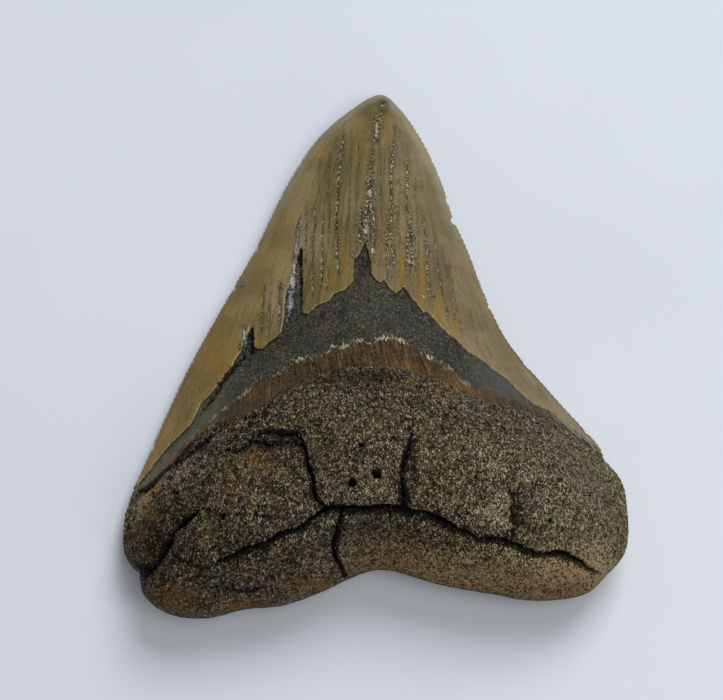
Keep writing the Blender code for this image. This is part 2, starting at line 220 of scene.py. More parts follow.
# %% The form in numbers
OUTLINE = [
    (1.5, 63), (6, 59), (11, 51), (15.5, 39.5), (17.5, 32), (20.5, 24), (24, 13), (28.5, 1.5),
    (33.5, -6), (41.5, -16.5), (47, -23.5), (49.5, -28), (52, -33), (52.5, -39.5), (52, -46),
    (50.5, -50.5), (47, -54.5), (43.5, -58), (38, -59.5), (30, -59.5), (22, -58), (14, -56.5),
    (6, -54), (0.5, -53), (-6.5, -55.5), (-10.5, -57.5), (-18.5, -60.5), (-26.5, -61.5),
    (-34.5, -63.5), (-42.5, -62.5), (-47, -59), (-48.5, -54.5), (-51.5, -50), (-52.5, -45),
    (-52, -37), (-49.5, -30), (-46, -20), (-40.5, -5.5), (-33.5, 9.5), (-26.5, 24), (-20, 39.5),
    (-13.5, 51), (-6, 58.5),
]
# Heights, as (place, height) knots.
CROWN_HEIGHT = [(-40, 14), (-10, 13.5), (10, 12), (30, 9.3), (45, 6.2), (55, 3.2), (63, 0)]
ROOT_HEIGHT = [(-64, 17), (-50, 19), (-38, 19.5), (-28, 18), (-15, 15), (-5, 12.5), (5, 11)]
NECK_LINE = [(-52, -38), (-44, -28), (-36, -18), (-28, -10), (-15, -2), (0, 2), (12, -1),
             (24, -9), (36, -18), (46, -28), (52, -33)]
RIM_HEIGHT = [(-60, 8.5), (-20, 8.5), (-6, 5.0), (6, 3.5), (60, 3.5)]
# Towards the tip the rim lifts off the ground a little.
TIP_LIFT = 0.8
TIP_SPAN = (45.0, 62.0)
# How far in from the rim the arch of the crown and the hill of the root reach full height.
CUTTING_MARGIN = 1.2
ROOT_ROUNDING = 13.0
ROOT_SIDE_DROP = 0.46
ROOT_HALF_WIDTH = 50.0
# The crown turns to root from this far above the neck line to this far below it.
NECK_ABOVE = 4.0
NECK_BELOW = -22.0
# The lower face: its flat, how it lifts away from it, and how wide it rounds at the rim.
FLAT_CENTRE = (0.0, -30.0)
FLAT_HALF = (30.0, 16.0)
FLAT_REACH = 30.0
LABIAL_LIFT = 2.4
LABIAL_ROUND_CROWN = 9.0
LABIAL_ROUND_ROOT = 7.0
# Broad swellings of the root: (x, y, half width, half length, height).
SWELLINGS = [
    (-27, -44, 16, 9, 0.9), (-46, -40, 6, 8, 0.8), (22, -40, 18, 10, 0.5), (5, -24, 12, 6, -0.6),
]
UNEVEN_SIZE = 13.0
UNEVEN_HEIGHT = 0.35
# The line down the middle, towards which the rim's rings close in.
HEART_LOW = (0.0, -24.0)
HEART_HIGH = (1.0, 50.0)
print("outline points:", len(OUTLINE))

# %% [markdown]
# ## Smooth curves
# Points joined by straight lines would show as corners. A curve through the points, with
# its samples at an even step, takes the corners away and keeps the number of points low.
# Heights run through their knots the same way, in one direction only.

# %% Smooth curves
SPAN_SAMPLES = 24


def smooth_curve(points, closed, step):
    """Points at an even step along a rounded curve through the given points."""
    knots = np.array(points, float)
    if closed:
        knots = np.vstack([knots[-1], knots, knots[:2]])
    else:
        knots = np.vstack([2 * knots[0] - knots[1], knots, 2 * knots[-1] - knots[-2]])
    pieces = []
    for p0, p1, p2, p3 in zip(knots, knots[1:], knots[2:], knots[3:]):
        t1 = math.sqrt(np.linalg.norm(p1 - p0))
        t2 = t1 + math.sqrt(np.linalg.norm(p2 - p1))
        t3 = t2 + math.sqrt(np.linalg.norm(p3 - p2))
        t = np.linspace(t1, t2, SPAN_SAMPLES, endpoint=False)[:, None]
        a1 = p0 + (p1 - p0) * t / t1
        a2 = p1 + (p2 - p1) * (t - t1) / (t2 - t1)
        a3 = p2 + (p3 - p2) * (t - t2) / (t3 - t2)
        b1 = a1 + (a2 - a1) * t / t2
        b2 = a2 + (a3 - a2) * (t - t1) / (t3 - t1)
        pieces.append(b1 + (b2 - b1) * (t - t1) / (t2 - t1))
    pieces.append(knots[-2][None])
    fine = np.vstack(pieces)
    run = np.concatenate([[0.0], np.cumsum(np.linalg.norm(np.diff(fine, axis=0), axis=1))])
    count = max(2, round(run[-1] / step))
    at = np.arange(count if closed else count + 1) * run[-1] / count
    return np.stack([np.interp(at, run, fine[:, 0]), np.interp(at, run, fine[:, 1])], axis=1)


def knot_curve(at, knots):
    """Height of a smooth curve through (place, height) knots, level past both ends."""
    place, value = np.array(knots, float).T
    slope = np.gradient(value, place)
    at = np.clip(at, place[0], place[-1])
    low = np.clip(np.searchsorted(place, at) - 1, 0, len(place) - 2)
    span = place[low + 1] - place[low]
    t = (at - place[low]) / span
    start = (1 + 2 * t) * (1 - t) ** 2 * value[low] + t * (1 - t) ** 2 * span * slope[low]
    end = t * t * (3 - 2 * t) * value[low + 1] + t * t * (t - 1) * span * slope[low + 1]
    return start + end


def ease(low, high, at):
    """0 before low, 1 after high and a soft step between; low may be the larger."""
    t = np.clip((at - low) / (high - low), 0.0, 1.0)
    return t * t * (3 - 2 * t)


def blots(places, rows):
    """For each row (x, y, half width, half length, size), its soft blot at every place."""
    for x, y, half_x, half_y, size in rows:
        reach = ((places[:, 0] - x) / half_x) ** 2 + ((places[:, 1] - y) / half_y) ** 2
        yield size * np.exp(-reach)


# %% [markdown]
# ## Distances on the plan
# Nearly everything on a tooth follows a line: its cutting edge, the end of its enamel, its
# cracks. So the main tool is the distance from each point of the skin to a line, either a
# closed loop or an open one. It is worked out with arrays, in blocks that fit in memory.

# %% Distances on the plan
BLOCK = 400


def in_blocks(work, places, *rest):
    """Runs work on a few hundred places at a time and joins the answers."""
    parts = np.array_split(places, max(1, math.ceil(len(places) / BLOCK)))
    return np.concatenate([work(part, *rest) for part in parts])


def depth_block(places, loop):
    """Distance of each place from a closed loop, negative outside it."""
    ends = np.roll(loop, -1, axis=0)
    along = ends - loop
    gap = places[:, None] - loop
    t = np.clip((gap * along).sum(axis=2) / (along ** 2).sum(axis=1), 0.0, 1.0)
    distance = np.sqrt(((gap - t[..., None] * along) ** 2).sum(axis=2).min(axis=1))
    crosses = (loop[:, 1] > places[:, None, 1]) != (ends[:, 1] > places[:, None, 1])
    rise = np.where(along[:, 1] == 0.0, 1.0, along[:, 1])
    x_there = loop[:, 0] + along[:, 0] * (places[:, None, 1] - loop[:, 1]) / rise
    inside = (crosses & (places[:, None, 0] < x_there)).sum(axis=1) % 2 == 1
    return np.where(inside, distance, -distance)


def line_block(places, line):
    """Signed distance from an open line, + on its right, and how far along it, 0 to 1."""
    starts = line[:-1]
    along = line[1:] - starts
    size = np.linalg.norm(along, axis=1)
    gap = places[:, None] - starts
    t = np.clip((gap * along).sum(axis=2) / size ** 2, 0.0, 1.0)
    off = gap - t[..., None] * along
    apart = np.sqrt((off ** 2).sum(axis=2))
    nearest = apart.argmin(axis=1)
    row = np.arange(len(places))
    turn = along[nearest, 1] * gap[row, nearest, 0] - along[nearest, 0] * gap[row, nearest, 1]
    before = np.concatenate([[0.0], np.cumsum(size)])
    run = (before[nearest] + t[row, nearest] * size[nearest]) / before[-1]
    side = np.where(turn >= 0.0, 1.0, -1.0)
    return np.stack([apart[row, nearest] * side, run], axis=1)


# %% [markdown]
# ## The worn and serrated rim
# The cutting edges carry fine saw teeth, about eight to the centimetre, worn low by the
# sea and gone at the tip, with a nick and a few chips. The rim's points are pulled in a
# little by a small wave along the edge. The root's rim has no teeth, only wear, so every
# second point is enough for it.

# %% The worn and serrated rim
FINE_STEP = 0.3
TOOTH_PITCH = 1.3
TOOTH_DEPTH = 0.22
# The saw teeth fade out between these two places along the tooth.
BLUNT_TIP = (61.0, 52.0)
# The saw teeth drift along the edge in runs of one size; the wear has a finer size.
DRIFT_SIZE = 9.0
WEAR_SIZE = 1.7
WEAR_DEPTH = 0.1
# Nicks and chips: (x, y, half width, depth).
NICKS = [
    (18.2, 30.5, 0.9, 0.9), (16.6, 35.6, 0.7, 0.35), (-26.8, 23.5, 0.8, 0.5),
    (-31.5, 13.6, 0.6, 0.4), (-17, 45, 0.5, 0.3), (25.4, 9, 0.7, 0.35), (32.5, -5.5, 1.2, 0.45),
    (-47.6, -24.5, 0.8, 0.4), (-48.5, -54, 0.8, 0.5), (45.3, -20.8, 0.6, 0.5),
    (49.3, -27.3, 0.9, 0.5),
]


def toward_heart(places):
    """Unit steps from each place towards the line down the middle of the tooth."""
    low = np.array(HEART_LOW)
    high = np.array(HEART_HIGH)
    line = high - low
    t = np.clip(((places - low) @ line) / (line @ line), 0.0, 1.0)
    step = low + t[:, None] * line - places
    return step / np.linalg.norm(step, axis=1)[:, None]


def root_share(places):
    """0 on the crown, 1 on the root, and a soft change across the neck."""
    below_neck = places[:, 1] - knot_curve(places[:, 0], NECK_LINE)
    return ease(NECK_ABOVE, NECK_BELOW, below_neck)


def worn_rim(loop):
    """The outline with its saw teeth, nicks and chips, thinned along the root."""
    run = np.arange(len(loop)) * FINE_STEP
    share = root_share(loop)
    wander = np.array([noise.noise(Vector((s / DRIFT_SIZE, 0.0, 4.0))) for s in run])
    rough = np.array([noise.noise(Vector((s / WEAR_SIZE, 0.0, 8.0))) for s in run])
    saw = 0.5 + 0.5 * np.sin(2 * math.pi * run / TOOTH_PITCH + 2.5 * wander)
    cut = (TOOTH_DEPTH * saw * (0.75 + 0.5 * wander)) * (1 - share)
    cut = cut * ease(*BLUNT_TIP, loop[:, 1])
    cut += WEAR_DEPTH * (1.0 + rough)
    for x, y, half, deep in NICKS:
        cut += deep * np.exp(-(((loop - (x, y)) ** 2).sum(axis=1)) / half ** 2)
    cut = np.clip(cut, 0.0, None)
    keep = (share < 0.5) | (np.arange(len(loop)) % 2 == 0)
    return (loop + toward_heart(loop) * cut[:, None])[keep]


outline = smooth_curve(OUTLINE, True, FINE_STEP)
rim = worn_rim(outline)
print("rim points:", len(rim))

# %% [markdown]
# ## Height of the two faces
# The upper face is an arch between the two cutting edges on the crown and a rounded hill
# on the root, with a soft change across the neck. The lower face is nearly flat. Both take
# the rim's height at the rim itself, so they meet there without a gap.

# %% Height of the two faces
ON_RIM = 0.001


def crown_sides(loop):
    """The left and right edges of the crown as curves of x against y."""
    tip = int(np.argmax(loop[:, 1]))
    turned = np.roll(loop, -tip, axis=0)
    low_right = int(np.argmax(turned[:, 0]))
    low_left = int(np.argmin(turned[:, 0]))
    right = turned[:low_right + 1][::-1]
    left = np.vstack([turned[low_left:], turned[:1]])
    return left, right


LEFT_EDGE, RIGHT_EDGE = crown_sides(outline)


def crown_middle(places):
    """The crown's middle line and half width at each place's distance from the tip."""
    edge_left = np.interp(places[:, 1], LEFT_EDGE[:, 1], LEFT_EDGE[:, 0])
    edge_right = np.interp(places[:, 1], RIGHT_EDGE[:, 1], RIGHT_EDGE[:, 0])
    return (edge_left + edge_right) / 2, np.maximum((edge_right - edge_left) / 2, 0.01)


def rim_inset(places):
    """Distance in from the rim, where places on the rim itself count as exactly 0."""
    return np.clip(in_blocks(depth_block, places, rim) - ON_RIM, 0.0, None)


def rim_height(places):
    """Height of the edge between the lingual and the labial face."""
    below_neck = places[:, 1] - knot_curve(places[:, 0], NECK_LINE)
    return knot_curve(below_neck, RIM_HEIGHT) + TIP_LIFT * ease(*TIP_SPAN, places[:, 1])


def swelling(places):
    """Broad lumps and hollows of the root, and its slight unevenness."""
    rough = [noise.noise(Vector((x / UNEVEN_SIZE, y / UNEVEN_SIZE, 0.3))) for x, y in places]
    return sum(blots(places, SWELLINGS)) + UNEVEN_HEIGHT * np.array(rough)


def lingual_height(places):
    """The upper face: an arched crown with sharp edges, which swells into the root."""
    inset = rim_inset(places)
    middle, half = crown_middle(places)
    from_middle = np.clip(np.abs(places[:, 0] - middle) / half, 0.0, 1.0)
    crown = knot_curve(places[:, 1], CROWN_HEIGHT) * (1 - from_middle ** 2)
    crown = crown * ease(0.0, CUTTING_MARGIN, inset)
    falling = 1 - ROOT_SIDE_DROP * (places[:, 0] / ROOT_HALF_WIDTH) ** 2
    rounded = np.sqrt(1 - (1 - np.clip(inset / ROOT_ROUNDING, 0.0, 1.0)) ** 2)
    root = (knot_curve(places[:, 1], ROOT_HEIGHT) * falling + swelling(places)) * rounded
    share = root_share(places)
    return rim_height(places) + (1 - share) * crown + share * root


def labial_height(places):
    """The lower face: nearly flat, and lifted a little away from the flat it rests on."""
    inset = rim_inset(places)
    share = root_share(places)
    reach = (1 - share) * LABIAL_ROUND_CROWN + share * LABIAL_ROUND_ROOT
    s = np.clip(inset / reach, 0.0, 1.0)
    fall = (1 - share) * (1 - (1 - s) ** 2) + share * np.sqrt(1 - (1 - s) ** 2)
    past_flat = np.clip(np.abs(places - np.array(FLAT_CENTRE)) - np.array(FLAT_HALF), 0.0, None)
    lift = LABIAL_LIFT * ease(0.0, FLAT_REACH, np.hypot(past_flat[:, 0], past_flat[:, 1]))
    return lift + (rim_height(places) - lift) * (1 - fall)


# %% [markdown]
# ## The borders of the bands
# Cracks, the end of the enamel and the bands under it are drawn as lines on a slanted
# plane, square to a look from above the root. A point's place on that plane is its x and a
# mix of its y and z, so a drawn line wraps over the arched tooth and down the root's side
# with no stretching. The borders come first: the broken end of the enamel with its three
# slits, the cream line, and the start of the bone. They run from left to right and past
# the tooth at both ends, so that they can be closed round the tip into a region. The lower
# face has a plainer border, on the plan.

# %% The borders of the bands
SLANT = math.radians(65)

ENAMEL_EDGE = [
    (-58, -34), (-51, -29.5), (-48.7, -26.5), (-46.5, -23.5), (-44, -20.5), (-42.5, -19),
    (-41, -17.5), (-39.5, -16), (-38.5, -14.5), (-37, -11), (-35, -9), (-33, -6.5), (-32, -5),
    (-30.5, -3), (-29.7, -1.5), (-28.8, 0), (-28, 2.8), (-27.4, 4), (-27, 5), (-26.2, 5),
    (-26, 3), (-26, 1), (-25.2, 0.4), (-24, 0.6), (-23.2, 1.3), (-21.1, 3), (-20, 4),
    (-19.7, 5.5), (-19.6, 8.5), (-19.4, 10.8), (-19.2, 13), (-18.2, 15), (-17.6, 16),
    (-17.4, 18.2), (-17.1, 20.3), (-16.8, 22.3), (-16, 22.4), (-15.9, 20), (-15.7, 14),
    (-15.6, 8), (-14.5, 7.8), (-13.5, 8.5), (-12.8, 9.5), (-10.8, 10.2), (-9.8, 10.7), (-9, 12),
    (-8, 12.5), (-6.7, 12.8), (-5.7, 14), (-4.8, 14.8), (-4.6, 17), (-4.6, 19.6), (-3.8, 20.5),
    (-2.9, 22), (-2.2, 23.5), (-1.7, 22), (-1.2, 20), (-1, 18), (-1, 16.7), (-0.3, 15.8),
    (0.3, 14.8), (1.2, 14.5), (1.8, 15.2), (2.5, 14.3), (3.3, 13.2), (4.4, 12.3), (5.2, 12.8),
    (6.1, 13.8), (7, 12.5), (8, 11), (9.3, 9.5), (10.3, 8.1), (11.2, 8.3), (12.5, 6.8), (14, 5),
    (15.5, 3.6), (17, 2.5), (18.6, 0.8), (20, -0.4), (23, -2.2), (25, -4), (27, -5.3), (29, -7),
    (31, -9.3), (33, -11), (36, -12.3), (38, -13.5), (40, -15), (42.5, -16.8), (44.5, -18.3),
    (46.5, -20), (48, -21.5), (58, -29.6),
]
CREAM_LINE = [
    (-58, -36), (-51, -31), (-48, -28), (-41.5, -20.5), (-36.5, -15.5), (-33, -12.5),
    (-30.5, -11), (-27.5, -8.5), (-26, -7), (-24.5, -6), (-23, -5), (-21, -5), (-19.5, -4),
    (-18, -2.5), (-16, -1.5), (-14, -1.5), (-12, -0.5), (-10.5, 0), (-9, 1), (-7.5, 1), (-6, 1.5),
    (-4.5, 2.5), (-1, 2), (0, 2.5), (2.5, 3), (5.5, 2.5), (8, 1), (9.5, 0.5), (12, -1.5),
    (14.5, -2.5), (17, -5), (20, -7), (22, -7.5), (23.5, -7.5), (25.5, -9), (29, -10), (31, -11),
    (34, -12.3), (36, -13), (38, -14.1), (42.5, -17.3), (46.5, -20.6), (48, -22.1), (58, -30.2),
]
ROOT_LINE = [
    (-58, -37), (-51, -32), (-48, -29), (-42.5, -23), (-39, -19), (-36.5, -17), (-34.5, -15),
    (-31.5, -14), (-26.5, -12), (-23, -10.5), (-19, -7.5), (-15.5, -6.5), (-12.5, -4.5),
    (-8, -3.5), (-5, -2.5), (-1.5, -2.5), (1.5, -2.5), (4.5, -3), (8.5, -4.5), (13.5, -5.5),
    (16.5, -7), (20, -9), (22.5, -10), (25.5, -10.5), (28.5, -11.5), (33, -12.8), (36, -13.5),
    (38, -14.6), (40, -16), (44.5, -19.4), (46.5, -21.2), (48, -22.8), (58, -30.8),
]
LABIAL_EDGE = [
    (-58, -37), (-51, -33.5), (-45, -28.5), (-36, -23.5), (-24, -19.5), (-10, -17), (3, -16.5),
    (15, -17.5), (27, -20), (38, -23.5), (45, -26), (49.5, -28), (58, -31),
]
# Two corners beyond the tip, which close a border into a region.
ROUND_TIP = [(70, 80), (-70, 80)]
print("border points:", [len(line) for line in (ENAMEL_EDGE, CREAM_LINE, ROOT_LINE, LABIAL_EDGE)])

# %% [markdown]
# ## Cracks, holes and hollows of the root
# Bone cracks as it dries and is buried, and the pieces sink against each other. So a crack
# is more than a slit: the ground on its right side, seen along its drawn direction, lies
# lower, and the ground round it falls in softly. Nutrient holes let blood vessels into the
# root, and the largest two lie side by side at its middle.

# %% Cracks, holes and hollows of the root
# name: (line, half width, depth, drop of the right side, width of that side, depth and half
# width of the soft valley, how far start and end are open, where 0 is closed and 1 is open).
CRACKS = {
    "main_left": (
        [(-34, -43), (-32, -42.5), (-29, -41), (-25, -39), (-22.5, -38.5), (-20.5, -37.5),
         (-19.5, -36.5), (-15, -35), (-12, -33), (-9, -31), (-7.5, -31)],
        0.42, 2.4, 0.8, 2, 0.3, 1.8, (0.15, 1)),
    "main_middle": (
        [(-8.5, -31), (-6, -31.5), (0, -31.5), (4, -31.5), (7, -32.5), (9.5, -32.5), (12.5, -34),
         (16.5, -35.5)],
        0.68, 2.8, 0.75, 2.2, 0.35, 2.2, (1, 0.5)),
    "main_right": (
        [(14.5, -35), (18.5, -36.5), (20, -37.5), (24.5, -37.5), (28.5, -39.5), (32.5, -40.5),
         (37, -40.5), (40.5, -42.5), (42, -43), (43, -44), (45, -45)],
        0.42, 2.2, 0.55, 1.6, 0.3, 1.6, (0.5, 0.3)),
    "loop": (
        [(-32.5, -21), (-31, -20), (-27.5, -19.5), (-25, -18), (-22, -18.5), (-20.5, -18.5),
         (-19, -18), (-15.5, -18), (-14.5, -19), (-13.5, -22.5), (-12.5, -26), (-12, -29),
         (-10.5, -30.5), (-9, -31)],
        0.3, 1.9, 0.35, 1.6, 0.45, 1.6, (0.15, 1)),
    "loop_lip": (
        [(-28.5, -19), (-25.5, -17.5), (-24, -16.5), (-21, -16), (-19, -16.5), (-16, -16.5),
         (-14.5, -18.5)],
        0.26, 1.2, 0.75, 1.6, 0.2, 1.2, (0.1, 0.6)),
    "base": (
        [(-6.5, -31.5), (-7, -33.5), (-7.5, -35.5), (-8, -38), (-8, -40), (-7.5, -42), (-7, -44),
         (-5, -48.5)],
        0.38, 1.9, 0.15, 0.8, 0.35, 1.5, (1, 0.5)),
    "left_deep": (
        [(-34.5, -31), (-36, -32), (-38.5, -34), (-40.5, -35.5), (-41.5, -37), (-42, -38.5),
         (-43, -40), (-45.5, -43.5), (-47.5, -45), (-50.5, -47.5)],
        0.85, 2.6, 1.9, 4.6, 0.6, 2.2, (0.15, 1)),
    "plate_foot": (
        [(-41.5, -38.5), (-40, -40), (-38, -41.5), (-34, -43)],
        0.04, 0.1, 0.45, 2.6, 0.1, 1.2, (0.4, 0.8)),
    "plate_crevice": (
        [(-34.5, -31), (-32, -31.5), (-30.5, -32.5), (-29.5, -34)],
        0.16, 0.6, 0.3, 1.6, 0.3, 1.2, (0.4, 0.1)),
    "under_lip": (
        [(-27.5, 2), (-28.5, -0.5), (-29.5, -2.5), (-31.5, -5), (-34.5, -9.5), (-36.5, -12),
         (-38.5, -15.5)],
        0.15, 0.6, 0, 1, 0.05, 0.6, (0.5, 0)),
    "left_crease": (
        [(-40, -28), (-41, -29.5), (-42, -31.5)],
        0.2, 0.8, 0.1, 0.8, 0.25, 1, (0.2, 0.2)),
    "ledge_low": (
        [(-51.5, -31.5), (-50.5, -30), (-47.5, -28), (-44.5, -25), (-42, -23), (-40.5, -21),
         (-37.5, -18.5), (-36.5, -17)],
        0.22, 0.9, 0.35, 1.3, 0.12, 0.9, (0.2, 0.2)),
    "ledge_high": (
        [(-42, -24), (-40.5, -22.5), (-37, -20), (-35, -18.5), (-33, -17), (-31, -16)],
        0.2, 0.8, 0.35, 1.3, 0.12, 0.9, (0.3, 0.2)),
    "ledge_small": (
        [(-26, -14.5), (-24.5, -13.5), (-23, -12.5), (-22, -11), (-20, -10.5)],
        0.2, 0.7, 0.4, 1.4, 0.2, 1.2, (0.2, 0.2)),
    "ledge_lip": (
        [(-32.5, -20), (-30.5, -18.5), (-28.5, -17), (-26, -15.5)],
        0.15, 0.5, 0.35, 1.4, 0.2, 1, (0.2, 0.2)),
    "middle": (
        [(5.5, -31.5), (5, -29.5), (5, -26), (5.5, -22), (6, -20), (6.5, -18), (7, -16),
         (8, -13.5)],
        0.32, 1.7, 0.5, 1.9, 0.5, 1.6, (0.9, 0)),
    "middle_side": (
        [(8, -28), (7.5, -25), (7.8, -21), (8.5, -18)],
        0.1, 0.4, 0, 1, 0.3, 1.1, (0.2, 0.2)),
    "furrow": (
        [(26, -38), (27, -35.5), (27, -31.5), (27, -29.5), (26.5, -28), (26, -26), (25.5, -23)],
        0.12, 0.5, 0.45, 2.2, 0.3, 1.4, (0.9, 0)),
    "low_seam": (
        [(-34.5, -47.5), (-32, -47), (-27, -48), (-19, -47)],
        0.13, 0.4, 0, 1, 0.25, 1, (0.2, 0.2)),
    "plate_seam": (
        [(-24.5, -33), (-23, -32), (-22, -30.5), (-20, -30)],
        0.13, 0.4, 0.1, 1, 0.2, 1, (0.2, 0.2)),
    "right_seam": (
        [(40.5, -28.5), (43, -29), (46, -28.5)],
        0.1, 0.2, 0, 1, 0.1, 0.6, (0.2, 0.2)),
}
# Nutrient holes and pits: (across, along, half width, half length, depth).
HOLES = [
    (0, -24.2, 1, 1.05, 3.2), (-4.9, -26, 0.75, 1.05, 2.8), (-3, -18.7, 0.45, 0.45, 1.3),
    (-0.9, -18.3, 0.25, 0.25, 0.7), (15.3, -23.3, 0.3, 0.3, 0.9), (11.3, -26.2, 0.3, 0.4, 0.9),
    (19.6, -24.7, 0.35, 0.5, 1), (34.2, -33.5, 0.35, 0.5, 1), (22.1, -42.9, 0.3, 0.45, 0.9),
    (-4.1, -38.4, 0.3, 0.3, 0.8), (-30.3, -32.7, 0.5, 0.8, 1.4), (-37.3, -20, 0.35, 0.35, 0.9),
    (-34.8, -18.3, 0.4, 0.3, 0.9), (-42, -23, 0.6, 0.35, 1), (30.6, -20, 0.2, 0.2, 0.4),
    (42, -34.5, 0.3, 0.3, 0.6), (8, -38.5, 0.3, 0.2, 0.6), (-28, 14, 0.7, 0.6, 0.08),
]
# Hollows sunk at the slits and along the cracks, also painted with shade: (across, along, half
# width, half length, size).
HOLLOWS = [
    (-16.4, 20.5, 1, 2.6, 1.2), (-16.1, 15.5, 0.7, 5.5, 1), (-26.7, 3.6, 0.9, 2.2, 1.3),
    (-27, 0.8, 0.9, 2, 1.1), (-2.6, 19, 1.5, 3.4, 0.6), (-28.6, -1.2, 0.7, 0.8, 0.7),
    (5.3, 12, 1.2, 0.8, 0.5), (-21, -17.2, 5.5, 1.1, 0.7), (-13.2, -24.8, 0.9, 2.2, 0.9),
    (-14.6, -18.6, 1.4, 1.4, 0.5), (27.8, -31.8, 1.5, 4.8, 0.95), (6.8, -24.3, 1.3, 3.8, 0.75),
    (5, -30, 0.7, 1.6, 0.8), (3, -33.8, 6.5, 1.1, 0.5), (11, -35.8, 5, 1.2, 0.45),
    (17.5, -38.6, 4, 1.1, 0.4), (-43.8, -38, 2, 2.8, 0.8), (-41.5, -34, 2, 1.6, 0.6),
    (-32.5, -31.4, 2.2, 0.8, 0.5), (-34, -44.6, 5, 1.2, 0.35), (-31.5, -47.4, 3, 0.7, 0.6),
    (37.3, -41.8, 1.5, 0.5, 0.6), (-7.5, -33.5, 1.2, 1.6, 0.5),
]
print("cracks:", len(CRACKS), "holes:", len(HOLES), "hollows:", len(HOLLOWS))

# %% [markdown]
# ## Fissures of the enamel
# Enamel is brittle, and it shrinks as it dries. It splits along its fibres, from the
# broken lower end up towards the tip. The fissures are drawn one by one, since each shows
# as a dark line.

# %% Fissures of the enamel
# Each fissure: (points, half width, strength).
FISSURES = [
    ([(2, 58), (1.7, 55), (0.8, 52), (0.2, 49), (-0.3, 45.5)], 0.75, 0.8),
    ([(-0.3, 46), (-0.7, 42), (-1.1, 39)], 0.4, 1),
    ([(-1, 40), (-1.3, 34.5), (-1.8, 29.5), (-1.6, 27), (-1.4, 22.7)], 0.6, 1),
    ([(-2.8, 32), (-3.2, 27), (-3.4, 22)], 0.6, 0.9),
    ([(-0.4, 32), (-0.3, 26), (-0.2, 19)], 0.5, 0.8),
    ([(-7, 52), (-7.4, 46), (-8, 40), (-8.4, 33), (-8.5, 26), (-8.3, 21),
      (-7.8, 13.7)], 0.38, 0.95),
    ([(4.6, 50.5), (4.1, 44), (3.6, 38), (3.7, 32), (3.4, 26), (3.9, 21),
      (3.6, 14.5)], 0.4, 0.95),
    ([(3, 30), (2.6, 24), (2.8, 16)], 0.45, 0.8),
    ([(7.1, 46.5), (7.4, 40), (7.1, 33), (7.4, 27), (6.9, 21), (6.4, 14)], 0.4, 0.85),
    ([(7.8, 30), (7.9, 24), (7.9, 16)], 0.6, 0.85),
    ([(10.4, 31), (11.1, 23.5), (11.4, 16), (12.2, 8.5)], 0.34, 0.9),
    ([(12.8, 28), (14.2, 14), (16, 5)], 0.26, 0.75),
    ([(16, 20), (17.5, 9), (18.8, 2.5)], 0.22, 0.7),
    ([(14.6, 24), (16.2, 12), (17.3, 5)], 0.18, 0.55),
    ([(-15.2, 33), (-15.4, 26), (-15, 18)], 0.26, 0.8),
    ([(-13.3, 33), (-13.6, 22), (-13.4, 10.5)], 0.28, 0.85),
    ([(-11.5, 31), (-11.6, 22), (-11.7, 11.5)], 0.28, 0.85),
    ([(-10.3, 18), (-10.4, 12)], 0.26, 0.8),
    ([(-24.2, 15), (-24.4, 2)], 0.26, 0.8),
    ([(-20.6, 16), (-20.4, 5)], 0.32, 0.9),
    ([(-22.6, 17.5), (-22.8, 3.5)], 0.2, 0.65),
    ([(-9.9, 46), (-10.4, 38), (-10.2, 30), (-10, 22)], 0.22, 0.7),
    ([(-5.2, 50), (-5.5, 40), (-5.7, 28), (-5.4, 17)], 0.2, 0.6),
    ([(-3.5, 50), (-3.9, 40), (-4.2, 30)], 0.2, 0.6),
    ([(1.6, 46), (1.2, 38), (1.2, 28), (1, 17)], 0.2, 0.55),
    ([(5.6, 44), (5.4, 34), (5.2, 24), (5, 15)], 0.18, 0.55),
    ([(9, 40), (9.4, 30), (9.6, 20), (9.4, 11.5)], 0.2, 0.6),
    ([(22.5, 6), (25, -2.5)], 0.2, 0.5),
    ([(20.3, 10), (22, 0.5)], 0.18, 0.5),
    ([(-12.4, 44), (-12.6, 34)], 0.18, 0.5),
]
print("fissures:", len(FISSURES))

# %% [markdown]
# ## How close each point is to a drawn line
# The lines of a natural object are never clean, so each place is first nudged by a noise
# of a few tenths of a millimetre. The nudge makes the enamel's broken edge jagged and the
# cracks ragged, with no more points in the drawing.

# %% How close each point is to a drawn line
# The sizes of the nudging noise and how far each nudges.
RAGGED = [(3.0, 0.35), (1.1, 0.32), (0.5, 0.2)]
EDGE_RAGGED = [(2.0, 0.12), (0.8, 0.14), (0.4, 0.12)]
# A fixed seed for the vector noise gives the same tooth each run.
NOISE_SEED = 8
noise.seed_set(NOISE_SEED)
CRACK_STEP = 1.0
# A crack narrows over this length to its ends, and widens and narrows in runs of two sizes.
TAPER_LENGTH = 6.0
LONG_RUN = 5.0
SHORT_RUN = 1.4
# How far the painted shade reaches out from a crack's edge, in millimetres.
SHADE_REACH = 0.45


def on_slant(points):
    """Places on the slanted plane for points in space, in millimetres."""
    along = points[:, 1] * math.sin(SLANT) + points[:, 2] * math.cos(SLANT)
    return np.stack([points[:, 0], along], axis=1)


def ragged(spots, seed, sizes):
    """The same places, each nudged by a few sizes of noise."""
    nudge = np.zeros((len(spots), 2))
    for size, reach in sizes:
        field = [noise.noise_vector(Vector((x / size, y / size, seed))) for x, y in spots]
        nudge += reach * np.array(field)[:, :2]
    return spots + nudge


def region(line):
    """A drawn line closed round the tip, as a loop for distances."""
    return np.array(line + ROUND_TIP, float)


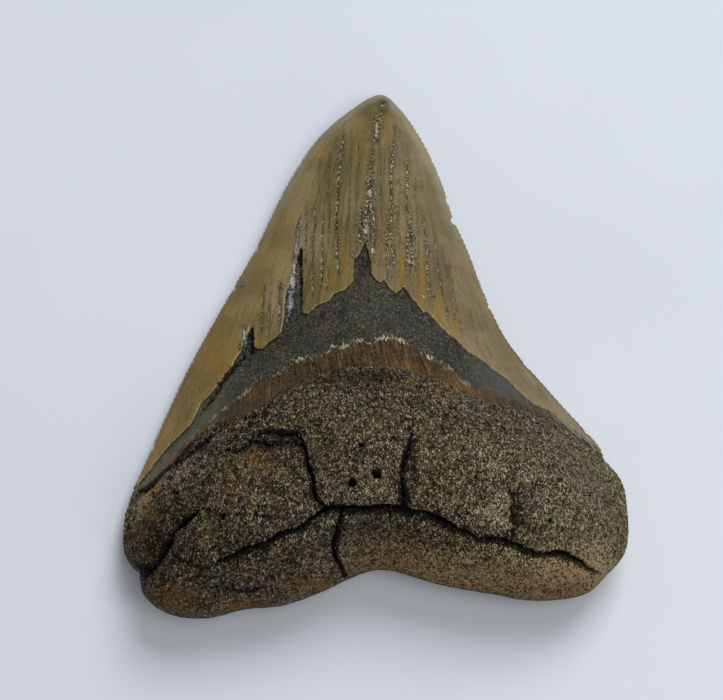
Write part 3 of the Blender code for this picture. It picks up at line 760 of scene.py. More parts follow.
def crack_profile(spots, plan, seed):
    """Depth, gape and surrounding painted shade of one crack at each spot, as three columns."""
    line, half, deep, sunk, sunk_width, valley, valley_half, taper = plan
    found = np.zeros((len(spots), 3))
    path = smooth_curve(line, False, CRACK_STEP)
    reach = half + sunk_width + 2 * valley_half
    near = np.all((spots > path.min(axis=0) - reach) & (spots < path.max(axis=0) + reach), axis=1)
    if not near.any():
        return found
    gap, run = in_blocks(line_block, spots[near], path).T
    length = (len(path) - 1.0) * CRACK_STEP
    start = np.clip(taper[0] + run * length / TAPER_LENGTH, 0.0, 1.0)
    end = np.clip(taper[1] + (1 - run) * length / TAPER_LENGTH, 0.0, 1.0)
    open_ends = np.minimum(start, end)
    swell = np.array([noise.noise(Vector((t * length / LONG_RUN, seed, 2.0))) for t in run])
    short = np.array([noise.noise(Vector((t * length / SHORT_RUN, seed, 6.0))) for t in run])
    swell += 0.5 * short
    half_here = half * open_ends * (1.0 + 0.5 * swell) + 0.02
    apart = np.abs(gap)
    past = apart - half_here
    gape_and_shade = ease(1.25 * half_here, 0.55 * half_here, apart)
    ledge = ease(-0.1, 0.2, past) * ease(sunk_width, sunk_width * 0.3, past)
    ledge = np.where(gap > 0, ledge, 0.0)
    soft = np.exp(-(apart / valley_half) ** 2)
    drop = deep * gape_and_shade + sunk * ledge + valley * soft
    # Painted shade: dark at the crack's edges, on its sunk side and in its soft valley.
    dark = 0.7 * np.exp(-(np.clip(past, 0.0, None) / SHADE_REACH) ** 2)
    dark = dark + 0.45 * ledge * min(1.0, sunk * 2)
    dark = (dark + 0.3 * soft) * ease(2.5 * valley_half, 0.0, apart)
    found[near] = np.stack([drop * open_ends, gape_and_shade, np.clip(dark * open_ends, 0.0, 1.0)], axis=1)
    return found


# %% [markdown]
# ## A flat sheet cut to the plan
# Each face of the tooth starts as a flat sheet. Rings run along the rim, so the sharp edge
# and the steep side of the root stay smooth, and a square lattice fills the inside. The
# rings of the root start closer to the rim than those of the crown, because its side is
# steeper there.

# %% A flat sheet cut to the plan
ROOT_INSETS = [0.01, 0.06, 0.15, 0.3, 0.5, 0.8, 1.2, 1.7, 2.3, 2.9]
CROWN_INSETS = [0.12, 0.28, 0.48, 0.72, 1.0, 1.3, 1.65, 2.05, 2.5, 3.0]


def add_ring(bm, places):
    """A closed loop of edges through the given places, flat on the plan."""
    ring = bmesh.ops.create_circle(bm, segments=len(places), radius=1.0)["verts"]
    for vert, (x, y) in zip(ring, places):
        vert.co = (x, y, 0.0)
    return list(dict.fromkeys(edge for vert in ring for edge in vert.link_edges))


def add_lattice(bm, cell):
    """A square lattice that fills the plan inside the innermost ring."""
    half = np.abs(outline).max()
    cells = round(2 * half / cell)
    lattice = bmesh.ops.create_grid(bm, x_segments=cells, y_segments=cells, size=half)["verts"]
    depth = in_blocks(depth_block, np.array([vert.co.xy for vert in lattice]), outline[::3])
    margin = ROOT_INSETS[-1] + 0.6 * cell
    outside = [vert for vert, inset in zip(lattice, depth) if inset < margin]
    bmesh.ops.delete(bm, geom=outside, context="VERTS")
    stray = [vert for vert in lattice if vert.is_valid and not vert.link_faces]
    bmesh.ops.delete(bm, geom=stray, context="VERTS")
    inner = [vert for vert in lattice if vert.is_valid]
    kept = list(dict.fromkeys(edge for vert in inner for edge in vert.link_edges))
    wire = [edge for edge in kept if not edge.link_faces]
    bmesh.ops.delete(bm, geom=wire, context="EDGES")
    return [edge for edge in kept if edge.is_valid and edge.is_boundary]


def plan_sheet(bm, cell, stride):
    """The plan of the tooth as one flat sheet, with every ring or each stride-th ring."""
    before = set(bm.verts)
    inward = toward_heart(rim)
    share = root_share(rim)
    rings = [add_ring(bm, rim)]
    steps = list(zip(CROWN_INSETS, ROOT_INSETS))[stride - 1::stride]
    for crown_inset, root_inset in steps:
        inset = (1 - share) * crown_inset + share * root_inset
        rings.append(add_ring(bm, rim + inward * inset[:, None]))
    for outer, inner in zip(rings, rings[1:]):
        bmesh.ops.bridge_loops(bm, edges=outer + inner)
    border = add_lattice(bm, cell)
    bmesh.ops.triangle_fill(bm, edges=rings[-1] + border, use_beauty=True, normal=(0, 0, 1))
    return [vert for vert in bm.verts if vert not in before]


def raise_sheet(verts, height_at):
    """Lift a flat sheet's vertices to the heights of one face of the tooth."""
    heights = height_at(np.array([vert.co.xy for vert in verts]))
    for vert, height in zip(verts, heights):
        vert.co.z = height


print("rings inside the rim:", len(ROOT_INSETS))

# %% [markdown]
# ## Refine the sheet where the lines run
# A sheet fine enough for the cracks everywhere would need millions of faces. So the lattice
# starts at 0.8 mm. Edges on the root and near a drawn line are split once, and those that
# are very close to a line once more.

# %% Refine the sheet where the lines run
CELL = 0.8
# (longest edge left, how near to a line, all over the root too)
WIDE_SPLIT = (0.62, 1.6, True)
CLOSE_SPLIT = (0.3, 0.85, False)
SEARCH_STEP = 1.5
# Fissures are shallow, so they need a narrower strip of small faces.
FISSURE_HANDICAP = 0.2


def closeness(spots):
    """Distance of each spot to the nearest thing that needs small faces."""
    nearest = np.abs(in_blocks(depth_block, spots, region(ENAMEL_EDGE)))
    for line, half, *_ in CRACKS.values():
        path = smooth_curve(line, False, SEARCH_STEP)
        gap = np.abs(in_blocks(line_block, spots, path)[:, 0])
        nearest = np.minimum(nearest, np.clip(gap - half, 0.0, None))
    for line, _, _ in FISSURES:
        gap = np.abs(in_blocks(line_block, spots, np.array(line, float))[:, 0])
        nearest = np.minimum(nearest, gap + FISSURE_HANDICAP)
    for across, along, half_x, half_y, _ in HOLES:
        gap = np.hypot(spots[:, 0] - across, spots[:, 1] - along) - max(half_x, half_y)
        nearest = np.minimum(nearest, np.abs(gap))
    return nearest


def split_near(bm, longest, within, root_too):
    """Split edges longer than a length, near the drawn lines or also all over the root."""
    edges = [edge for edge in bm.edges if not edge.is_boundary and edge.calc_length() > longest]
    middles = on_slant(np.array([(edge.verts[0].co + edge.verts[1].co) / 2 for edge in edges]))
    wanted = closeness(middles) < within
    if root_too:
        wanted |= in_blocks(depth_block, middles, region(ROOT_LINE)) < 0.0
    chosen = [edge for edge, take in zip(edges, wanted) if take]
    before = set(bm.verts)
    bmesh.ops.subdivide_edges(bm, edges=chosen, cuts=1, use_grid_fill=True)
    raise_sheet([vert for vert in bm.verts if vert not in before], lingual_height)
    print("split", len(chosen), "edges over", longest, "mm: now", len(bm.faces), "faces")


bm = bmesh.new()
raise_sheet(plan_sheet(bm, CELL, 1), lingual_height)
split_near(bm, *WIDE_SPLIT)
split_near(bm, *CLOSE_SPLIT)
bmesh.ops.triangulate(bm, faces=bm.faces[:])
print("upper face:", len(bm.verts), "vertices,", len(bm.faces), "triangles")

# %% [markdown]
# ## Join the two faces
# The lower face is the plain one that nobody sees while the tooth lies, so it has a wider
# lattice and every second ring. Both sheets have the same rim, so merging doubles closes
# the skin. Each point is marked as upper or lower, since the drawn lines are only on top.

# %% Join the two faces
LOWER_CELL = 1.6
LOWER_STRIDE = 2
SAME_PLACE = 0.004

# A new layer makes Blender forget the vertices held so far, so it comes before them.
upper_mark = bm.verts.layers.int.new("upper")
lower = plan_sheet(bm, LOWER_CELL, LOWER_STRIDE)
raise_sheet(lower, labial_height)
below = {vert for vert in lower if not vert.is_boundary}
for vert in bm.verts:
    vert[upper_mark] = 0 if vert in below else 1
bmesh.ops.remove_doubles(bm, verts=bm.verts[:], dist=SAME_PLACE)
bmesh.ops.triangulate(bm, faces=bm.faces[:])
bmesh.ops.recalc_face_normals(bm, faces=bm.faces[:])
bm.normal_update()
open_edges = sum(1 for edge in bm.edges if not edge.is_manifold)
print("tooth:", len(bm.faces), "triangles,", open_edges, "open edges")
print("on the lower face:", sum(1 for vert in bm.verts if vert[upper_mark] == 0), "vertices")

# %% [markdown]
# ## Where each point lies
# Each point of the skin now gets its distance from three borders. Enamel and cream are
# positive towards the tip, and bone is positive towards the root. On the lower face one
# plain border stands for all three, with the cream line and the bone a little below it.

# %% Where each point lies
CREAM_UNDER = 1.5
BONE_UNDER = 2.5

points = np.array([vert.co for vert in bm.verts])
normals = np.array([vert.normal for vert in bm.verts])
upper = np.array([vert[upper_mark] for vert in bm.verts]) == 1
spots = on_slant(points)
plan_spots = points[:, :2]
rough_spots = ragged(spots, 1.0, RAGGED)
rough_plan = ragged(plan_spots, 5.0, RAGGED)
edge_spots = ragged(spots, 3.0, EDGE_RAGGED)
inset = rim_inset(plan_spots)


def lumps_of(size, seed=0.0):
    """Noise of one size at every point of the skin, about -1 to 1."""
    shift = Vector((0.0, seed, 0.0))
    return np.array([noise.noise(Vector(point) / size + shift) for point in points])


on_top = in_blocks(depth_block, edge_spots, region(ENAMEL_EDGE))
on_under = in_blocks(depth_block, rough_plan, region(LABIAL_EDGE))
above_cream = in_blocks(depth_block, spots, region(CREAM_LINE))
above_bone = in_blocks(depth_block, spots, region(ROOT_LINE))
enamel = np.where(upper, on_top, on_under)
cream = np.where(upper, above_cream, on_under + CREAM_UNDER)
bone = -np.where(upper, above_bone, on_under + BONE_UNDER)
print("points in the enamel:", int((enamel > 0).sum()), "in the bone:", int((bone > 0).sum()))

# %% [markdown]
# ## Cracks, holes and ledges
# Every crack and hole leaves three marks at a point: how deep it drops, how far it gapes,
# which is later painted black as shade, and how much painted shade darkens its surround. The
# deepest mark wins where two cracks meet. The left shoulder of the root also flakes off in
# ledges, like slate, which step down along the dentine, with painted shade at their feet. The left
# shoulder of the root also flakes off in ledges, like slate, which
# step down along the dentine.

# %% Cracks, holes and ledges
# Columns: depth, the gape painted black as shade, and the painted shade round it.
DEPTH, GAPE_AND_SHADE, SHADE_COLUMN = 0, 1, 2
HOLLOW_DEPTH = 0.9
TERRACE_PITCH = 1.4
TERRACE_DROP = 0.9
CRUMB_DEPTH = 0.6
# The shoulder: where it fades in from the middle, and the band of bone that flakes.
SHOULDER_SIDE = (-12.0, -24.0)
SHOULDER_TOP = (0.0, 0.8)
SHOULDER_FOOT = (8.5, 4.5)

marks = np.zeros((len(points), 3))
for number, plan in enumerate(CRACKS.values()):
    marks = np.maximum(marks, crack_profile(rough_spots, plan, number))
for across, along, half_x, half_y, deep in HOLES:
    off = np.hypot((rough_spots[:, 0] - across) / half_x, (rough_spots[:, 1] - along) / half_y)
    pit = ease(1.2, 0.8, off)
    # A hole is painted black inside and darkened round its rim, both as painted shade.
    hole_shade = 0.5 * ease(2.0, 1.0, off) * min(1.0, deep)
    marks[:, DEPTH] += deep * pit
    marks[:, GAPE_AND_SHADE] = np.maximum(marks[:, GAPE_AND_SHADE], pit * min(1.0, deep))
    marks[:, SHADE_COLUMN] = np.maximum(marks[:, SHADE_COLUMN], hole_shade)
# Each hollow sinks the skin and darkens it with painted shade.
for blot in blots(spots, HOLLOWS):
    shade = blot * ease(0.1, -0.1, enamel)
    marks[:, DEPTH] = np.maximum(marks[:, DEPTH], HOLLOW_DEPTH * shade)
    marks[:, SHADE_COLUMN] = np.maximum(marks[:, SHADE_COLUMN], np.clip(shade, 0.0, 1.0))

broken = ease(-0.3, 0.1, lumps_of(4.0, 3.0))
in_band = ease(*SHOULDER_SIDE, spots[:, 0]) * ease(*SHOULDER_TOP, bone)
shoulder = in_band * ease(*SHOULDER_FOOT, bone) * broken
level = (bone + 1.1 * lumps_of(3.2, 7.0) + 0.45 * lumps_of(1.1, 9.0)) / TERRACE_PITCH
step = level - np.floor(level)
marks[:, DEPTH] += TERRACE_DROP * shoulder * ease(0.45, 0.0, step)
# The foot of each ledge and the crumbs are darkened with painted shade.
marks[:, SHADE_COLUMN] = np.maximum(marks[:, SHADE_COLUMN], 0.8 * shoulder * ease(0.35, 0.0, step))
crumbled = CRUMB_DEPTH * shoulder * ease(0.05, 0.4, lumps_of(0.9, 31.0))
marks[:, DEPTH] += crumbled
marks[:, SHADE_COLUMN] = np.maximum(marks[:, SHADE_COLUMN], crumbled)
# Near the rim the drops are shallower, so that they don't cut through it.
marks[:, DEPTH] *= 0.25 + 0.75 * ease(0.0, 1.6, inset)
marks *= np.where(upper, 1.0, 0.0)[:, None]
print("deepest mark:", round(float(marks[:, DEPTH].max()), 2), "mm")

# %% [markdown]
# ## Relief
# The enamel stands a fraction of a millimetre proud of the dentine and ends in a ledge.
# Fissures are shallow grooves in it. The root has the lumps of old bone in four sizes, of
# which the hidden face gets only the broad ones, and pits. Then each point moves along its
# own normal, and none may leave the box of the solid tooth.

# %% Relief
ENAMEL_THICKNESS = 0.55
UNDER_SHARE = 0.4
CREAM_STEP = 0.12
NO_FISSURE = 3.0
FISSURE_DEPTH = 0.14
# Lumps of the bone: (size, height), and the size from which the hidden face has them too.
BONE_LUMPS = [(7.0, 0.3), (2.6, 0.2), (1.2, 0.17), (0.65, 0.1)]
BROAD_LUMP = 2.0
ENAMEL_LUMPS = 0.08
PIT_SIZE = 1.7
PIT_DEPTH = 0.45
INSIDE_BOX = 0.02

is_enamel = ease(-0.12, 0.08, enamel)
is_bone = ease(-0.5, 1.0, bone)
drop = ENAMEL_THICKNESS * (1 - is_enamel) * (1 - is_bone) * np.where(upper, 1.0, UNDER_SHARE)
drop += np.where(upper, CREAM_STEP, 0.0) * ease(0.15, -0.15, cream) * (1 - is_bone)
drop += marks[:, DEPTH]

fissure = np.full(len(points), NO_FISSURE)
for line, half, strength in FISSURES:
    gap, run = in_blocks(line_block, rough_spots * 0.6 + spots * 0.4, np.array(line, float)).T
    ends = 1.5 * ease(0.12, 0.0, run) + 1.5 * ease(0.88, 1.0, run)
    fissure = np.minimum(fissure, np.abs(gap) / half + ends + 1.2 * (1 - strength))
fissure = np.where(upper, fissure, NO_FISSURE)
drop += FISSURE_DEPTH * ease(1.2, 0.3, fissure) * is_enamel

lumps = np.zeros(len(points))
for size, height in BONE_LUMPS:
    lumps += height * lumps_of(size) * np.where(upper | (size > BROAD_LUMP), 1.0, 0.0)
pits = PIT_DEPTH * ease(0.2, 0.55, lumps_of(PIT_SIZE, 20.0)) * np.where(upper, 1.0, 0.0) * is_bone
# Pits are darkened with painted shade as well.
painted_shade = np.maximum(marks[:, SHADE_COLUMN], 0.9 * pits)
lumpy = ENAMEL_LUMPS + (1 - ENAMEL_LUMPS) * is_bone
drop += (pits - lumps * lumpy) * ease(0.0, 0.8, inset)
print("deepest point:", round(float(drop.max()), 2), "mm")

moved = points - normals * drop[:, None]
low = np.array(cad_low) / MM + INSIDE_BOX
high = np.array(cad_high) / MM - INSIDE_BOX
moved = np.clip(moved, low, high)
moved[:, 2] = np.where(upper, moved[:, 2], np.clip(moved[:, 2], 0.0, None))
for vert, place in zip(bm.verts, moved):
    vert.co = Vector(place) * MM

# %% [markdown]
# ## Stains, tone, painted light and painted shade
# Water carried iron and manganese through the sea bed, and each left its stain where it
# could soak in: gold and rust at the root's low side and along fissures, smoke-dark
# manganese at the neck, chalky minerals in the slits. The smoke blots along the root's
# cracks are painted shade. The broad tone is the rest, where the tooth is lighter or darker
# than its surroundings with no clear border; where it lightens the root's low side, it is
# painted light.

# %% Stains, tone, painted light and painted shade
# Each blot: (across, along, half width, half length, strength), on the slanted plane.
GOLD = [
    (-24.5, -21.5, 4, 3, 0.8), (-29.5, -27, 1.4, 3, 0.6), (-51.5, -35, 1.2, 6, 0.8),
    (-40.6, -49.6, 4, 2.5, 1), (-28, -51.8, 6, 2, 0.9), (-13, -47.5, 6, 2, 0.9),
    (40, -44, 10, 6, 0.9), (24, -46, 14, 5, 0.9), (8, -44, 14, 5, 1), (-6.4, 18, 1.4, 4.5, 0.8),
    (1.7, 21, 1, 4.5, 0.5), (5.6, 17.5, 1.2, 6, 0.9), (9.9, 14.5, 1.4, 6, 1),
    (13.4, 9, 1.5, 4.5, 0.9), (16.8, 5, 1.6, 4.5, 0.7), (2.5, 51, 1.8, 7, 0.5),
    (-3.5, 47, 1.6, 8, 0.5), (-34, -1, 5, 9, 0.8), (4.5, -3.2, 4.5, 1.4, 0.6),
    (17, -7, 9, 2.8, 0.65), (12, -24, 7, 5, 0.3), (-22, 22, 4, 12, 0.2), (-9.5, 15, 3, 3, 0.5),
    (2.2, 27, 3, 6, 0.35), (-47, -28, 2.5, 5, 0.9), (-36.5, -15.5, 4, 1.5, 0.6),
]
RUST = [
    (-40.6, -49.6, 5.5, 2.5, 0.9), (-28, -52, 6, 1.6, 0.7), (-14, -47.2, 6, 1.6, 0.9),
    (38, -48, 9, 2, 0.8), (20, -49, 10, 2.6, 0.7), (-24.5, -21.5, 3, 2, 0.3),
    (-29.5, -27, 1, 2.5, 0.5), (-41.5, -21.5, 2, 1, 0.6), (4, -44, 8, 3, 0.6),
    (30, -45.5, 6, 2, 0.4), (16, -47.5, 7, 1.4, 0.9), (2.2, 56.9, 1.1, 0.8, 1),
    (1.9, 54.9, 1, 0.9, 1), (4.6, 50.4, 0.5, 1.2, 0.8), (1.4, 50.8, 0.7, 0.8, 0.6),
    (-2.4, 27.5, 1.2, 3, 0.6),
]
# Smoke stains on the crown and at the neck, and painted shade along the root's cracks.
SMOKE_AND_SHADE = [
    (-4, -4.6, 8, 1.8, 1), (1, -4.4, 4, 1.6, 1), (-11, -6, 4, 1.5, 0.7), (0.6, 51.5, 1.1, 3.8, 1),
    (8.5, 37, 2.2, 1.6, 0.6), (-2.2, 26.5, 1.9, 4.5, 1), (2.9, 22, 1.1, 6.5, 0.9),
    (7.8, 22.5, 1.1, 7, 0.9), (4.6, 29.5, 1.3, 3.5, 0.8), (-29.5, 14.3, 1, 1, 1),
    (-27, -36, 10, 5, 0.35), (-42, -37, 5, 6, 0.8), (-20, -20, 6, 2.5, 0.5),
    (5.2, 36.5, 1, 4, 0.6), (-0.9, 37, 1.2, 6, 0.8), (28, -31, 2, 5, 0.6), (-36, -25, 5, 4, 0.5),
    (11.6, 22, 0.6, 1.6, 0.6), (-40.5, -9.5, 1.5, 6, 0.3), (-31, -10, 5, 4, 0.3),
    (-2.8, 18, 2.2, 4.5, 0.6), (10, -37, 9, 2, 0.5), (-8.5, 46, 0.8, 5, 0.5),
    (-15, -39, 6, 3, 0.3), (-1.8, 55.5, 0.4, 2, 0.4), (5.6, 49, 0.7, 3.5, 0.5),
    (-30, -45, 12, 2.2, 0.5),
]
CHALK = [
    (-18.5, 10.5, 0.8, 3.8, 0.95), (-18, 14.5, 0.7, 2.4, 1), (-19, 6.5, 0.4, 2, 0.6),
    (-17.7, 18, 0.35, 3.8, 1), (-16.9, 25.5, 0.5, 3, 0.85), (-20.4, 13.5, 0.8, 1.2, 0.6),
    (-17.3, 22.5, 0.35, 2.4, 1), (-16.4, 28, 0.3, 2.2, 0.7), (-20.6, 8, 0.3, 4, 0.6),
    (-1.9, 26.5, 1.1, 3.8, 0.72), (-0.6, 21.6, 0.4, 1.3, 0.9), (-1.1, 34.9, 0.7, 1.8, 0.85),
    (0.5, 49.5, 0.7, 3.2, 0.7), (-1, 31.5, 0.5, 2, 0.8), (44.4, -26.5, 1, 1, 0.5),
    (32, -19, 0.3, 2.6, 0.5), (-26.4, 8, 0.3, 2.6, 0.8), (-28.2, 3.4, 0.4, 2.2, 1),
    (-29, 0.8, 0.35, 1.6, 0.8), (12.6, 11.6, 0.35, 0.5, 0.9), (10.3, 11.6, 0.4, 0.5, 0.9),
    (7.3, 19.2, 0.45, 0.8, 0.9), (-4.8, 20.4, 0.5, 1.2, 0.6), (-10.3, -20, 0.8, 0.8, 0.4),
    (-0.5, 33.5, 0.3, 1.5, 0.5),
]
# The strength makes a place lighter, or darker below 0. The blots that lighten the root's low side
# are painted light.
TONE_AND_LIGHT = [
    (-48, -28.5, 3, 5, 0.24), (-53, -37, 2, 7, 0.1), (-45.5, -38, 2.5, 5, -0.06),
    (11, -44, 12, 4, 0.16), (40, -44.5, 9, 5, 0.24), (24, -46.5, 10, 4, 0.1),
    (23.8, -33, 3, 4.5, 0.15), (-0.3, -28, 3.5, 2.5, 0.16), (24, -21, 7, 6, 0.06),
    (40, -32, 10, 8, 0.05), (-12.5, -20.5, 5, 3.5, -0.05), (-4.5, -34.5, 4.5, 2.5, -0.06),
    (-2, -5.9, 9, 2, -0.15), (23, -9.5, 8, 6, -0.03), (-33, -18.5, 5, 3.5, 0.05),
    (30, -14.5, 5, 2.5, -0.06), (15, -1, 3, 3, -0.07), (16, -32, 8, 2.5, 0.08),
    (32, -40.5, 7, 3, 0.1), (45, -43, 4, 5, 0.15), (-5, 33, 4, 6, 0.12), (-15, 37, 3, 5, 0.2),
    (-19.5, 17, 3, 5, 0.32), (-16, 25.5, 1.6, 4.5, 0.3), (-21.5, 11, 3, 4, 0.26),
    (-12, 24, 3, 7, 0.2), (14, 17, 4, 9, -0.22), (9, 12, 4, 6, -0.12), (19, 27, 2.5, 12, 0.14),
    (-19, 33, 3, 9, 0.16), (-29, -4, 4, 5, 0.08), (-7, 52.5, 4, 4, 0.28), (2, 61, 6, 3, 0.3),
    (10, 48, 2.5, 7, 0.16), (1.5, 31, 5, 4, -0.05), (-43, -25, 4, 4, 0.22),
    (-37.5, -23.5, 3.5, 3, 0.15), (-49.5, -31.5, 3.5, 5, 0.22), (1.6, -34, 7, 3, -0.12),
    (48, -39, 3, 5, -0.08),
]
print("stains:", [len(rows) for rows in (GOLD, RUST, SMOKE_AND_SHADE, CHALK)], "tones:", len(TONE_AND_LIGHT))

# %% [markdown]
# ## Numbers stored on the skin
# The material asks at each point how far it is from the enamel's end, from the bands and
# from a fissure, how stained it is, how much shade and light are painted on it, and in
# which direction the enamel's fibres run. These numbers are stored on the vertices. The
# fibres run straight down the middle of the crown and lean along the cutting edges at its
# sides. Stains don't add up where two blots overlap, but tones do.

# %% Numbers stored on the skin
WIDE_CROWN = 48.0
# Distances further than these from a border aren't asked for.
FAR = 6.0
FAR_INSIDE = 12.0
# The lower face takes its fibres from another part of the pattern.
UNDER_SHIFT = 20.0

middle, half = crown_middle(plan_spots)
offset = plan_spots[:, 0] - middle
lean = np.clip(np.abs(offset) / half, 0.0, 1.0) ** 2
fibre_across = offset + np.sign(offset) * (WIDE_CROWN - half) * lean

numbers = {
    "enamel": np.clip(enamel, -FAR, FAR),
    "cream": np.clip(cream, -FAR, FAR),
    "bone": np.clip(bone, -FAR, FAR),
    "rim": np.clip(inset, 0.0, FAR_INSIDE),
    "fissure": fissure,
    # The gape and the darkening round cracks, holes and pits are painted shade; the tone is partly
    # painted light.
    "gape_and_shade": marks[:, GAPE_AND_SHADE],
    "painted_shade": painted_shade,
    "tone_and_light": np.where(upper, sum(blots(spots, TONE_AND_LIGHT)), 0.0),
}
for name, rows in [("gold", GOLD), ("smoke_and_shade", SMOKE_AND_SHADE), ("chalk", CHALK), ("rust", RUST)]:
    numbers[name] = np.where(upper, np.maximum.reduce(list(blots(spots, rows))), 0.0)

mesh = bpy.data.meshes.new("tooth_fossil")
bm.to_mesh(mesh)
bm.free()
for name, values in numbers.items():
    layer = mesh.attributes.new(name, "FLOAT", "POINT")
    layer.data.foreach_set("value", values.astype(np.float32))
fibres = np.stack([fibre_across, spots[:, 1], np.where(upper, 0.0, UNDER_SHIFT)], axis=1)
layer = mesh.attributes.new("fibres", "FLOAT_VECTOR", "POINT")
layer.data.foreach_set("vector", fibres.astype(np.float32).ravel())
mesh.attributes.remove(mesh.attributes["upper"])
mesh.shade_smooth()
print("numbers stored:", sorted(numbers), "and fibres")

# %% [markdown]
# ## The finish of the fossil
# The real materials are enameloid, bare dentine and root bone, all filled with minerals
# from the sea bed. Enameloid is dense, so it keeps a soft gloss. Dentine is duller. Bone is
# open and scatters light, with dark pores and tan grains. The three are mixed in one
# material, because one crack or stain crosses them all. The patterns have real sizes. Only
# the hairlines of the enamel, which are a tenth of a millimetre wide on a real tooth, are
# drawn coarser, so that they show from where a person would hold it.

# %% The finish of the fossil
fossil, tree, shader = new_material("mineralised_tooth")
where = add(tree, "ShaderNodeTexCoord")
mm_scale = add(tree, "ShaderNodeMapping",
               {"Vector": where.outputs["Object"], "Scale": (1 / MM, 1 / MM, 1 / MM)})
place_mm = mm_scale.outputs["Vector"]
told = {}
for name in numbers:
    told[name] = add(tree, "ShaderNodeAttribute", attribute_name=name).outputs["Fac"]
fibre_place = add(tree, "ShaderNodeAttribute", attribute_name="fibres").outputs["Vector"]


def pattern(source, size, detail, rough, warp=0.0):
    """A noise whose grains are size millimetres (one number, or one for each axis)."""
    each = size if isinstance(size, tuple) else (size, size, size)
    grain = add(tree, "ShaderNodeMapping",
                {"Vector": source, "Scale": tuple(1.0 / side for side in each)})
    return add(tree, "ShaderNodeTexNoise",
               {"Vector": grain.outputs["Vector"], "Scale": 1.0, "Detail": detail,
                "Roughness": rough, "Distortion": warp}).outputs["Fac"]


# Patterns, each named for what it draws on the tooth. A fibre pattern's three sizes are
# across the fibres, along them and from face to face.
streaks = pattern(fibre_place, (1.3, 26.0, 5.0), 4.0, 0.55, 0.3)
hairlines = pattern(fibre_place, (0.35, 11.0, 5.0), 2.0, 0.6, 0.2)
clouds = pattern(place_mm, 9.0, 3.0, 0.55)
patches = pattern(place_mm, 2.6, 2.0, 0.6)
crumbs = pattern(place_mm, 0.95, 2.0, 0.7)
frays = pattern(fibre_place, (0.5, 3.0, 5.0), 3.0, 0.65)
beads = pattern(place_mm, (0.32, 0.62, 0.6), 1.0, 0.5)
fibre_tone = pattern(fibre_place, (0.45, 5.0, 5.0), 2.0, 0.6, 0.2)
print("patterns made; nodes so far:", len(tree.nodes))

# %% [markdown]
# ## Mineral grains
# The bone's pores are filled with sand and crystals. Every cell of a cracked pattern gets
# its own random shade and hue. Two sizes of cells are mixed, and two soft patterns gather
# lighter and darker ones into clumps, so that they read as grains of up to half a
# millimetre. The clumps' mean is taken away again, so they don't brighten the whole.

# %% Mineral grains
COARSE_CELL = 0.27
FINE_CELL = 0.16
# The cells are longer than they are wide by this share.
CELL_SQUASH = 0.62
COARSE_SHARE = 0.42
FINE_SHARE = 0.58
PATCH_SHARE = 0.35
CRUMB_SHARE = 0.7
CLUMP_MEAN = 0.52

grain = {}
for name, size in [("coarse", COARSE_CELL), ("fine", FINE_CELL)]:
    long_side = CELL_SQUASH / size
    cells = add(tree, "ShaderNodeMapping",
                {"Vector": place_mm, "Scale": (1 / size, long_side, long_side)})
    crystals = add(tree, "ShaderNodeTexVoronoi", {"Vector": cells.outputs["Vector"], "Scale": 1.0})
    grain[name] = add(tree, "ShaderNodeSeparateColor", {"Color": crystals.outputs["Color"]})
hue = grain["coarse"].outputs["Green"]
grains = add(tree, "ShaderNodeMath", {0: grain["coarse"].outputs["Red"], 1: COARSE_SHARE},
             operation="MULTIPLY").outputs[0]
grains = add(tree, "ShaderNodeMath", {0: grain["fine"].outputs["Red"], 1: FINE_SHARE, 2: grains},
             operation="MULTIPLY_ADD").outputs[0]
clump = add(tree, "ShaderNodeMath", {0: patches, 1: PATCH_SHARE, 2: -CLUMP_MEAN},
            operation="MULTIPLY_ADD").outputs[0]
clump = add(tree, "ShaderNodeMath", {0: crumbs, 1: CRUMB_SHARE, 2: clump},
            operation="MULTIPLY_ADD").outputs[0]
grains = add(tree, "ShaderNodeMath", {0: grains, 1: clump}, operation="ADD").outputs[0]
print("grains mixed; nodes so far:", len(tree.nodes))

# %% [markdown]
# ## Colour of the enamel
# Enamel takes up iron and manganese. It is honey tan at its left, olive in the middle and
# greyer at its right, with long streaks along its fibres. The colours towards each side
# are coats over the streaks, as thin as a glaze.

# %% Colour of the enamel
def glaze(ground, coats, blend="MIX"):
    """Lays coats of (colour, strength, mask) over a ground, one after another."""
    for colour, strength, amount in coats:
        share = add(tree, "ShaderNodeMath", {0: amount, 1: strength}, operation="MULTIPLY")
        top = colour if isinstance(colour, bpy.types.NodeSocket) else linear(colour)
        ground = add(tree, "ShaderNodeMix", {0: share.outputs[0], 6: ground, 7: top},
                     data_type="RGBA", blend_type=blend).outputs[2]
    return ground


streak_colour = add(tree, "ShaderNodeValToRGB", {"Fac": streaks},
                    stops=[(0.25, "#494024"), (0.42, "#645835"), (0.53, "#746943"),
                           (0.66, "#827148"), (0.8, "#967f4c")])
across = add(tree, "ShaderNodeSeparateXYZ", {"Vector": fibre_place})
to_right = add(tree, "ShaderNodeMapRange",
               {"Value": across.outputs["X"], "From Min": -4.0, "From Max": 26.0},
               interpolation_type="SMOOTHSTEP")
to_left = add(tree, "ShaderNodeMapRange",
              {"Value": across.outputs["X"], "From Min": -14.0, "From Max": -30.0},
              interpolation_type="SMOOTHSTEP")
enamel_colour = glaze(streak_colour.outputs["Color"], [
    ("#8f7d60", 0.68, to_right.outputs["Result"]),
    ("#a08852", 0.7, to_left.outputs["Result"]),
])
print("enamel's ground laid; nodes so far:", len(tree.nodes))

# %% [markdown]
# ## Masks
# A mask is a number from 0 to 1 that says where a coat of colour goes. Each starts from a
# stored distance, a pattern or a place across the tooth, and a range with a soft step turns
# it into a mask. Painted shade, the gape painted black as shade, and chalk are mixed with the
# grains first, so that they end in a crumbly border. Two masks multiplied give a third.

